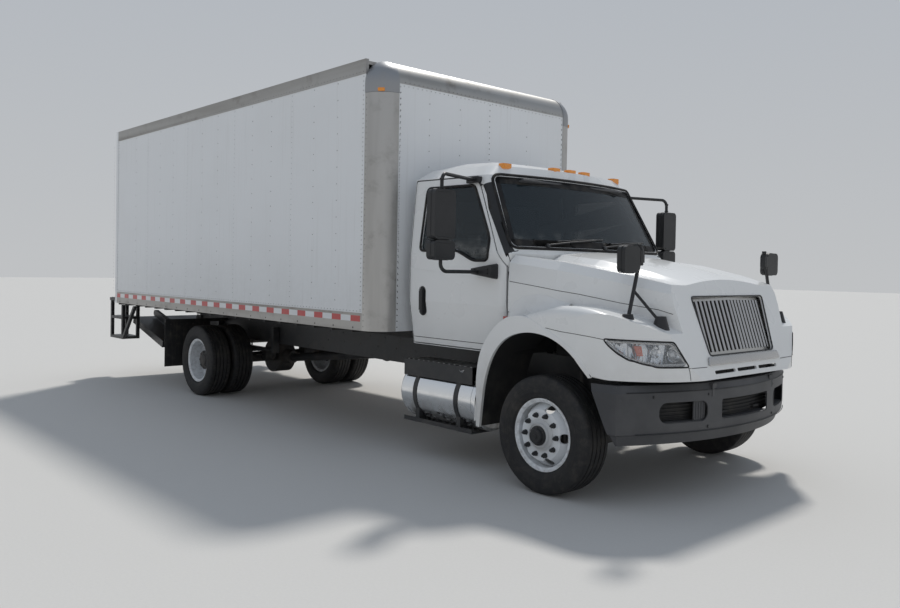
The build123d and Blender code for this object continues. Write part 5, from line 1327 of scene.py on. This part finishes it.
def nose_trim():
    """Polished bars over the grille's ribs, its frame, the strip below it and the dark screen behind it."""
    bars = []
    half = 0.0138
    for y, count in ((BAR_PITCH, 9), (-BAR_PITCH, 9), (0.0, 1)):
        depth = -0.005 - abs(y) * GRILLE_SWEEP
        section = [on_nose(y + half * share, 0.112, depth + out) for share, out in (
            (-1, -0.002), (-1, 0.001), (-0.6, 0.005), (0, 0.0065), (0.6, 0.005), (1, 0.001), (1, -0.002))]
        bar = plate(section, on_nose(0, 0.476) - on_nose(0, 0.112))
        if count > 1:
            row(bar, count, Vector((0, y, 0)) - NOSE_OUT * (GRILLE_SWEEP * BAR_PITCH))
        bars.append(bar)
    seated("grille_bars", bars, "strip_polished", "tilt_hood", 40)
    screen = [plate([on_nose(y, up, -0.088)
                     for y, up in ((-0.47, 0.09), (0.47, 0.09), (0.50, 0.50), (-0.50, 0.50))],
                    NOSE_OUT * 0.003)]
    for up in [0.115 + 0.024 * i for i in range(16)]:
        screen.append(plate([on_nose(-0.46, up, -0.084), on_nose(0.46, up, -0.084),
                             on_nose(0.46, up + 0.006, -0.078), on_nose(-0.46, up + 0.006, -0.078)],
                            NOSE_OUT * -0.004))
    seated("grille_screen", screen, "underside", "tilt_hood", 30)
    outline = [on_nose(y, up, 0.0015)
               for y, up in ((-0.447, 0.083), (-0.497, 0.503), (0.497, 0.503), (0.447, 0.083))]
    seated("grille_edge", pipe(cut_corners(outline, 0.030), 0.0055), "trim_black",
           "tilt_hood")
    outline = [on_nose(y, up) for y, up in ((-0.500, 0.014), (0.500, 0.014), (0.485, 0.073), (-0.485, 0.073))]
    strip = rounded(plate(cut_corners(outline, 0.014)[:-1], NOSE_OUT * 0.013), 0.0045, 3)
    seated("nose_strip", strip, "strip_polished", "tilt_hood")
    pads = [block((4.345, y - 0.146, 0.872), (4.357, y + 0.146, 0.934), 0.003, 1) for y in (-0.300, 0.0, 0.300)]
    seated("lip_backing", pads, "underside", "tilt_hood")


def bumper_line(y, inset=0.0):
    """How far forward the bumper's long arc stands at a place across the truck."""
    return 2.1805 + math.sqrt((2.2695 - inset) ** 2 - y * y)


def curved_strip(y_from, y_to, inset, wall, low_z, high_z, steps=24):
    """A strip that follows the bumper's arc."""
    spots = [y_from + (y_to - y_from) * i / steps for i in range(steps + 1)]
    front = [(bumper_line(y, inset), y, low_z) for y in spots]
    back = [(bumper_line(y, inset + wall), y, low_z) for y in reversed(spots)]
    return plate(front + back, (0, 0, high_z - low_z))


def bumper_detail():
    """Screens behind the bumper's openings, lamp blanks, mouldings, a top pad, bolts and tow eyes."""
    screen = [curved_strip(-0.98, 0.98, 0.075, 0.004, 0.560, 0.735)]
    screen += [curved_strip(-0.97, 0.97, 0.062, 0.006, z, z + 0.006)
               for z in [0.585 + 0.024 * i for i in range(6)]]
    seated("bumper_screen", screen, "underside")
    blanks = []
    for side in SIDES:
        inner = side * 0.461
        blanks.append(rounded(curved_strip(inner, inner + side * 0.105, 0.020, 0.012, 0.578, 0.712, 4),
                              0.003, 1))
        for y in [inner + side * (0.018 + 0.023 * k) for k in range(4)]:
            x = bumper_line(y, 0.020)
            blanks.append(block((x - 0.004, y - 0.003, 0.590), (x + 0.005, y + 0.003, 0.700), 0.0012, 1))
        for low, high in ((0.5745, 0.5800), (0.7120, 0.7170)):
            blanks.append(curved_strip(side * 0.462, side * 0.855, 0.010, 0.060, low, high, 10))
    for low, high in ((0.5750, 0.5805), (0.7095, 0.7150)):
        blanks.append(curved_strip(-0.315, 0.315, 0.010, 0.060, low, high, 12))
    seated("bumper_blanks", blanks, "bumper_plastic")
    lines = []
    for z, inset, half in ((0.786, -0.0005, 1.08), (0.509, -0.0015, 1.02)):
        spots = [-half + 2 * half * i / 48 for i in range(49)]
        lines.append(pipe([(bumper_line(y, inset), y, z) for y in spots], 0.0035, 1))
    for y, z in ((-0.456, 0.755), (0.440, 0.755), (-0.456, 0.535), (0.440, 0.535), (-0.90, 0.755),
                 (0.90, 0.755)):
        x = bumper_line(y)
        lines.append(barrel((x - 0.006, y, z), (x + 0.004, y, z), 0.011, 16, 0.009, 0.002, 1))
    seated("bumper_lines", lines, "trim_black")
    top = [curved_strip(-1.02, 1.02, 0.035, 0.09, 0.8305, 0.8345, 30)]
    for y in (-0.22, 0.22):
        top.append(pipe([(4.330, y - 0.045, 0.610), (4.385, y - 0.030, 0.610), (4.385, y + 0.030, 0.610),
                         (4.330, y + 0.045, 0.610)], 0.010, 3))
    seated("bumper_top_pad", top, "underside")


def engine_bay():
    """Splash panels inside the wheel arches, hoses and the air cleaner beside the engine."""
    outline = ((3.06, 0.905), (3.06, 1.330), (3.30, 1.400), (3.98, 1.330), (4.12, 1.050), (4.12, 0.905))
    panels = []
    for side in SIDES:
        panels.append(plate([(x, side * 0.470, z) for x, z in outline], (0, side * 0.006, 0)))
        panels.append(block((3.06, side * 0.440, 0.903), (4.12, side * 0.476, 0.911), 0.002, 1))
        panels += [block((x - 0.012, side * 0.476, 0.92), (x + 0.012, side * 0.484, 1.31), 0.003, 1)
                   for x in (3.25, 3.55, 3.85)]
    seated("splash_panels", panels, "underside")
    hoses = [pipe([(3.96, -0.18, 1.30), (3.90, -0.19, 1.42), (3.70, -0.20, 1.44), (3.50, -0.20, 1.40)],
                  0.032, 4),
             pipe([(3.98, 0.26, 1.20), (3.88, 0.34, 1.30), (3.60, 0.35, 1.32), (3.20, 0.34, 1.30)], 0.036, 4),
             barrel((3.20, -0.18, 1.43), (3.62, -0.20, 1.43), 0.085, 28, edge=0.012, segments=3)]
    seated("engine_hoses", hoses, "flap_rubber")


def rail_bolts():
    """Bolts down both webs of the frame."""
    runs = ((0.870, 3.95, 30, -0.245), (0.670, 3.85, 24, -0.300), (0.770, 1.55, 16, -0.300))
    parts = [rivets((first, RAIL_BOLT_Y, z), (0, -1, 0), (count, (step, 0, 0)), radius=0.011)
             for z, first, count, step in runs]
    seated("rail_bolts", both_sides(joined(parts)), "cast_metal")


def tank(start, end, radius):
    """A pressed tank with domed ends."""
    start, end = Vector(start), Vector(end)
    length = (end - start).length
    dome = [(radius * 0.35 * (1 - math.cos(a)), radius * math.sin(a))
            for a in [math.radians(90 * i / 6) for i in range(7)]]
    return turned(dome + [(length - a, r) for a, r in reversed(dome)], start, 32, (end - start).normalized())


def air_system():
    """Air tanks between the rails, brake chambers at the rear axle and the lines along the frame."""
    tanks = [tank((0.20, y, 0.735), (0.98, y, 0.735), 0.112) for y in (-0.16, 0.16)]
    tanks += [block((x - 0.018, -0.30, 0.618), (x + 0.018, 0.30, 0.626), 0.003, 1) for x in (0.36, 0.82)]
    seated("air_tanks", tanks, "frame_paint")
    chamber = [(0.0, 0.0), (0.0, 0.050), (0.012, 0.074), (0.060, 0.080), (0.066, 0.086), (0.078, 0.086),
               (0.084, 0.080), (0.140, 0.078), (0.156, 0.058), (0.158, 0.0)]
    cans = []
    x, z = REAR_AXLE_X + 0.20, 0.470
    for side in SIDES:
        cans.append(turned(chamber, (x, side * 0.36, z), 28, (0, -side, 0)))
        cans.append(pipe([(x, side * 0.36, z), (x, side * 0.46, z)], 0.010))
    seated("brake_chambers", cans, "cast_metal")
    lines = []
    for y, z, radius in ((-0.395, 0.745, 0.008), (-0.395, 0.722, 0.007), (0.395, 0.745, 0.008)):
        sag = ((3.30, 0), (2.2, -0.006), (1.2, 0.004), (0.0, -0.008), (-1.2, 0))
        lines.append(pipe([(x, y, z + dip) for x, dip in sag] + [(-1.70, y * 0.9, z - 0.03)], radius))
    seated("air_lines", lines, "flap_rubber")


def spring_detail():
    """U-bolts and plates on the four leaf springs, and the front shock absorbers."""
    parts = []
    for axle_x, y, top, reach in ((AXLE_X, 0.394, 0.475, 0.055), (REAR_AXLE_X, 0.482, 0.615, 0.065)):
        for side in SIDES:
            for x in (axle_x - reach, axle_x + reach):
                parts += [barrel((x, side * y + edge, top - 0.14), (x, side * y + edge, top + 0.035), 0.009, 10)
                          for edge in (-0.046, 0.046)]
            parts.append(block((axle_x - reach - 0.03, side * y - 0.062, top + 0.004),
                               (axle_x + reach + 0.03, side * y + 0.062, top + 0.020), 0.003, 1))
    for side in SIDES:
        foot, neck, head = ((AXLE_X - back, side * y, z) for back, y, z in (
            (0.16, 0.50, 0.44), (0.20, 0.475, 0.66), (0.225, 0.462, 0.80)))
        parts += [barrel(foot, neck, 0.034, 20, edge=0.004), barrel(neck, head, 0.013, 14)]
    seated("spring_detail", parts, "cast_metal")


def tank_detail():
    """Filler neck and cap, weld seams at the tank's ends, and treads on the steps over it."""
    y, z = -0.860, 0.530
    seam = [(-0.006, 0.2385), (-0.004, 0.2418), (0.004, 0.2418), (0.006, 0.2385), (-0.006, 0.2385)]
    neck, lean = (2.60, y - 0.150, z + 0.183), Vector((0, -0.62, 0.78)).normalized()
    parts = [turned(seam, (x, y, z), 56, (1, 0, 0)) for x in (1.905, 2.725)]
    parts.append(turned([(-0.02, 0.0), (-0.02, 0.046), (0.030, 0.044), (0.032, 0.040), (0.032, 0.0)],
                        neck, 28, lean))
    seated("tank_seams", parts, "tank_aluminium")
    cap = turned([(0.030, 0.0), (0.030, 0.050), (0.034, 0.053), (0.052, 0.053), (0.058, 0.048), (0.060, 0.0)],
                 neck, 12, lean)
    seated("tank_cap", rounded(cap, 0.002, 1), "strip_polished")
    treads = [block((x, -1.068, 0.803), (x + 0.020, -0.838, 0.8085), 0.0015, 1)
              for x in [1.915 + 0.064 * k for k in range(13)]]
    treads += [block((1.890, -1.0795, 0.712 + 0.05 * k), (2.716, -1.0765, 0.724 + 0.05 * k), 0.001, 1)
               for k in range(2)]
    seated("step_treads", treads, "post_aluminium")


def rear_hardware():
    """Rear lamps, the door's seals, rivets, latch and strap, and the ribs on the step."""
    x = BOX_REAR_X
    face = x + 0.0232
    reds, whites, seals, metals = [], [], [], []
    for side in SIDES:
        reds += [block((x - 0.016, side * 1.190, 1.176), (x - 0.0005, side * 1.280, 1.330), 0.008, 3),
                 block((x - 0.016, side * 0.555, 1.035), (x - 0.0005, side * 0.645, 1.100), 0.008, 3),
                 block((x - 0.016, side * 1.15, 3.350), (x - 0.0005, side * 1.23, 3.374), 0.006)]
        whites.append(block((x - 0.014, side * 0.705, 1.038), (x - 0.0005, side * 0.800, 1.098), 0.008, 3))
        seals.append(block((x + 0.012, side * 1.198, 1.118), (x + 0.024, side * 1.212, 3.128), 0.004, 1))
        for k in range(8):
            z = DOOR_PANEL_LOW_Z + DOOR_PANEL_HEIGHT * (k + 0.5)
            metals.append(rivets((face, side * 1.150, z - 0.06), (-1, 0, 0), (3, (0, 0, 0.06)), radius=0.005))
    reds += [block((x - 0.014, y - 0.035, 3.300), (x - 0.0005, y + 0.035, 3.326), 0.006)
             for y in (-0.20, 0.0, 0.20)]
    for y in (-0.80, -0.40, 0.40, 0.80):
        for k in range(1, 8):
            z = DOOR_PANEL_LOW_Z + DOOR_PANEL_HEIGHT * k
            metals.append(rivets((face, y - 0.02, z + 0.03), (-1, 0, 0), (2, (0, 0.04, 0)), radius=0.0045))
    latch = [block((x + 0.014, -0.10, 1.185), (x + 0.0235, 0.10, 1.335), 0.004),
             pipe([(x + 0.012, -0.055, 1.225), (x - 0.004, -0.055, 1.245), (x - 0.004, 0.055, 1.245),
                   (x + 0.012, 0.055, 1.225)], 0.008, 3),
             block((x + 0.008, -0.020, 1.128), (x + 0.020, 0.020, 1.190), 0.003, 1)]
    ribs = [block((-4.440, y, 1.0895), (-4.262, y + 0.016, 1.0945), 0.0015, 1)
            for y in [-1.272 + 0.12 * k for k in range(22)]]
    strap = pipe([(x + 0.006, 0.32, 1.30), (x + 0.004, 0.32, 1.22), (x - 0.002, 0.325, 1.14)], 0.006, 1)
    for name, parts, finish, slot in (("tail_lamps", reds, "red_lens", "box_paint"),
                                      ("reverse_lamps", whites, "clear_projector", "box_paint"),
                                      ("door_seals", seals, "seal_rubber", "box_paint"),
                                      ("door_rivets", metals, "cast_metal", "box_paint"),
                                      ("door_latch", latch, "cast_metal", "box_paint"),
                                      ("step_ribs", ribs, "gate_metal", "gate_metal"),
                                      ("door_strap", strap, "seat_fabric", "box_paint")):
        seated(name, parts, finish)


def gate_detail():
    """Hanger plates that carry the gate's pivot tube, with bosses and bolts."""
    outline = [(-3.560, 0.640), (-3.530, 0.575), (-3.410, 0.575), (-3.340, 0.700), (-3.340, 0.880),
               (-3.470, 0.880)]
    boss = [(0.0, 0.0460), (0.0, 0.070), (0.030, 0.070), (0.030, 0.0460), (0.0, 0.0460)]
    parts = []
    for side in SIDES:
        parts.append(plate([(x, side * 0.446, z) for x, z in outline], (0, side * 0.012, 0)))
        parts.append(turned(boss, (-3.470, side * 0.440, 0.650), 32, (0, side, 0)))
        parts += [barrel((x, side * 0.458, z), (x, side * 0.468, z), 0.012, 6, edge=0.002, segments=1)
                  for x, z in ((-3.380, 0.84), (-3.430, 0.84), (-3.380, 0.77))]
    seated("gate_hangers", parts, "gate_metal")


def flap_brackets():
    """Bolted strips that clamp the mud flaps to their bars."""
    parts = []
    for side in SIDES:
        parts.append(block((-2.646, side * 0.70, 0.800), (-2.634, side * 1.262, 0.835), 0.002, 1))
        for y in [side * (0.76 + 0.145 * k) for k in range(4)]:
            parts.append(barrel((-2.633, y, 0.818), (-2.620, y, 0.818), 0.008, 6))
    seated("flap_brackets", parts, "cast_metal")


def hood_mirror_trim():
    """Glass, rims and clamp collars of the two hood mirrors."""
    faces, trim = [], []
    for side in SIDES:
        y, post = side * 0.970, side * 0.862
        faces.append(mirror_pane((4.0515, y - 0.074, 1.582), (4.0565, y + 0.074, 1.738), 0.030))
        trim += [mirror_rim(4.090, y, 1.660, 0.0865, 0.0905, 0.036, 0.003),
                 barrel((4.100, post, 1.735), (4.100, post, 1.765), 0.017, 18, edge=0.004),
                 barrel((4.100, post, 1.620), (4.100, post, 1.735), 0.026, 20, edge=0.005)]
    seated("hood_mirror_faces", faces, "mirror", "tilt_hood")
    seated("hood_mirror_trim", trim, "trim_black", "tilt_hood")


VOXEL = 0.008
PUFF_LIMIT = 0.012
CLOTH_FRAMES = 16


def cushion(piece, puff):
    """Remeshes a rounded block and blows it up a little by cloth simulation, into a padded cushion."""
    modify(piece, "REMESH", mode="VOXEL", voxel_size=VOXEL)
    rest = [v.co.copy() for v in piece.data.vertices]
    take(piece)
    cloth = piece.modifiers.new("cloth", "CLOTH")
    cloth.settings.use_pressure = True
    cloth.settings.uniform_pressure_force = puff
    cloth.settings.effector_weights.gravity = 0
    cloth.settings.quality = 5
    for step in range(1, CLOTH_FRAMES + 1):
        bpy.context.scene.frame_set(step)
    bpy.ops.object.modifier_apply(modifier=cloth.name)
    bpy.context.scene.frame_set(1)
    for vertex, start in zip(piece.data.vertices, rest):
        move = vertex.co - start
        if move.length > PUFF_LIMIT:
            vertex.co = start + move.normalized() * PUFF_LIMIT
    return modify(piece, "SUBSURF", levels=1, render_levels=1)


def seat(name, y, width):
    """One seat: a pedestal, a sprung base, a cushion, a back, a head rest and piping along its edges."""
    half = width / 2

    def across(x0, z0, x1, z1, inset, edge, segments=3):
        return block((x0, y - half + inset, z0), (x1, y + half - inset, z1), edge, segments)

    base = [across(2.075, 0.9995, 2.520, 1.225, 0.05, 0.03), across(2.060, 1.225, 2.575, 1.300, 0.015, 0.02),
            tilted(across(2.000, 1.330, 2.050, 1.860, 0.03, 0.02), 7, (2.03, y, 1.33)),
            block((2.30, y + half - 0.016, 1.250), (2.42, y + half + 0.004, 1.268), 0.006)]
    seated(f"seat_base_{name}", base, "cabin_plastic")
    squab = cushion(across(2.095, 1.300, 2.585, 1.400, 0.015, 0.035, 4), 4.0)
    back = cushion(tilted(across(2.060, 1.400, 2.150, 1.860, 0.020, 0.035, 4), 8, (2.10, y, 1.40)), 4.0)
    rest = cushion(block((1.965, y - 0.13, 1.880), (2.035, y + 0.13, 1.985), 0.035, 4), 3.0)
    for part, piece in (("seat_cushion", squab), ("seat_back", back), ("head_rest", rest)):
        seated(f"{part}_{name}", piece, "seat_fabric", angle=60)
    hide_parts("seats")
    trim = []
    for edge in (-1, 1):
        at, post = y + edge * (half - 0.045), y + edge * 0.07
        trim += [pipe([(2.12, at, 1.403), (2.35, at, 1.410), (2.56, at, 1.402)], 0.0045),
                 pipe([(2.01, post, 1.83), (2.0, post, 1.90)], 0.007)]
    seated(f"seat_piping_{name}", trim, "trim_black")


def pale_floor():
    let_go()
    bpy.ops.mesh.primitive_plane_add(size=160, location=(0, 0, 0))
    floor = settle(bpy.context.object)
    floor.name = floor.data.name = "floor"
    made = Finish("pale_floor", **{"Roughness": 0.85, "Specular IOR Level": 0.2})
    speck = made.noise(60.0, 6, 0.7)
    cloud = made.noise(0.5, 4)
    colour = made.mixed(speck.over(0.3, 0.7) * 0.3 + cloud * 0.1, (0.62, 0.61, 0.59), (0.55, 0.54, 0.52))
    floor.data.materials.append(made.ready({"Base Color": colour}, speck, 0.15, 0.002))


def pale_sky():
    """A neutral sky that is paler at the horizon, and a soft sun."""
    world = bpy.data.worlds.new("pale_sky")
    bpy.context.scene.world = world
    world.use_nodes = True
    tree = world.node_tree
    tree.nodes.clear()
    out, sky, coordinates, split, ramp = (tree.nodes.new(kind) for kind in (
        "ShaderNodeOutputWorld", "ShaderNodeBackground", "ShaderNodeTexCoord", "ShaderNodeSeparateXYZ",
        "ShaderNodeValToRGB"))
    tree.links.new(coordinates.outputs["Generated"], split.inputs[0])
    tree.links.new(split.outputs[2], ramp.inputs[0])
    tree.links.new(ramp.outputs[0], sky.inputs[0])
    tree.links.new(sky.outputs[0], out.inputs[0])
    stops = ramp.color_ramp.elements
    stops[0].position, stops[0].color = 0.0, (0.84, 0.86, 0.88, 1)
    stops[1].position, stops[1].color = 0.75, (0.58, 0.66, 0.78, 1)
    sky.inputs["Strength"].default_value = 0.62
    let_go()
    bpy.ops.object.light_add(type="SUN", location=(0, 0, 10))
    sun = bpy.context.object
    sun.name = "soft_sun"
    sun.data.energy = 2.3
    sun.data.angle = math.radians(6)
    sun.data.color = (1.0, 0.97, 0.92)
    sun.rotation_euler = Vector((-0.42, 0.62, 1.0)).to_track_quat("Z", "Y").to_euler()


PHOTO_WIDTH = 900
PHOTO_FOCAL = 823.2
PHOTO_SHIFT = -18.83
SENSOR = 36.0


def photo_camera():
    """The photograph's camera, as fitted to it."""
    yaw, pitch, roll = 2.4057, 0.0198, 0.0183
    ahead = Vector((math.cos(yaw) * math.cos(pitch), math.sin(yaw) * math.cos(pitch), -math.sin(pitch)))
    across = ahead.cross(Vector((0, 0, 1))).normalized()
    up = across.cross(ahead)
    right = across * math.cos(roll) + up * math.sin(roll)
    above = up * math.cos(roll) - across * math.sin(roll)
    data = bpy.data.cameras.new("photo_camera")
    camera = bpy.data.objects.new("photo_camera", data)
    bpy.context.scene.collection.objects.link(camera)
    turn = Matrix((right, above, -ahead)).transposed().to_4x4()
    camera.matrix_world = Matrix.Translation((AXLE_X + 3.8254, -5.5269, 1.575)) @ turn
    data.sensor_width = SENSOR
    data.lens = PHOTO_FOCAL / PHOTO_WIDTH * SENSOR
    data.shift_y = PHOTO_SHIFT / PHOTO_WIDTH
    data.clip_end = 300
    bpy.context.scene.camera = camera
    bpy.context.scene.view_settings.view_transform = "Standard"


dress_nodes()
for side, name in NAMED_SIDES:
    front_body, rear_body = f"{name}_front_wheel", f"{name}_rear_wheels"
    front = tyre(f"front_tyre_tread_{name}", AXLE_X, side * FRONT_TYRE_Y, "tyre_front", front_body, False)
    outer = tyre(f"rear_outer_tyre_{name}", REAR_AXLE_X, side * (DUAL_Y + DUAL_OFFSET), "tyre_rear",
                 rear_body, True)
    tyre(f"rear_inner_tyre_{name}", REAR_AXLE_X, side * (DUAL_Y - DUAL_OFFSET), "tyre_rear", rear_body, True)
    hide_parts(f"front_tyre_{name}")
    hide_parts(f"rear_tyres_{name}")
    front_wheel_trim(side, name)
    rear_wheel_trim(side, name)
side_rivets()
sheet_joints()
front_wall_rivets()
for side, name in NAMED_SIDES:
    cap_casting_painted_reflection(side, name)
    door_trim(side, name)
for make in (corner_rivets, box_tape, box_roof_sheets, windshield_trim, wipers, cab_lining, dash_detail,
             fender_shoulders, arch_trim, pillar_bands, hood_seams, headlamp_detail, nose_trim, bumper_detail,
             engine_bay, rail_bolts, air_system, spring_detail, tank_detail, rear_hardware, gate_detail,
             flap_brackets, hood_mirror_trim):
    make()
seat("driver", 0.480, 0.480)
seat("bench", -0.420, 0.760)
pale_floor()
pale_sky()
photo_camera()
let_go()
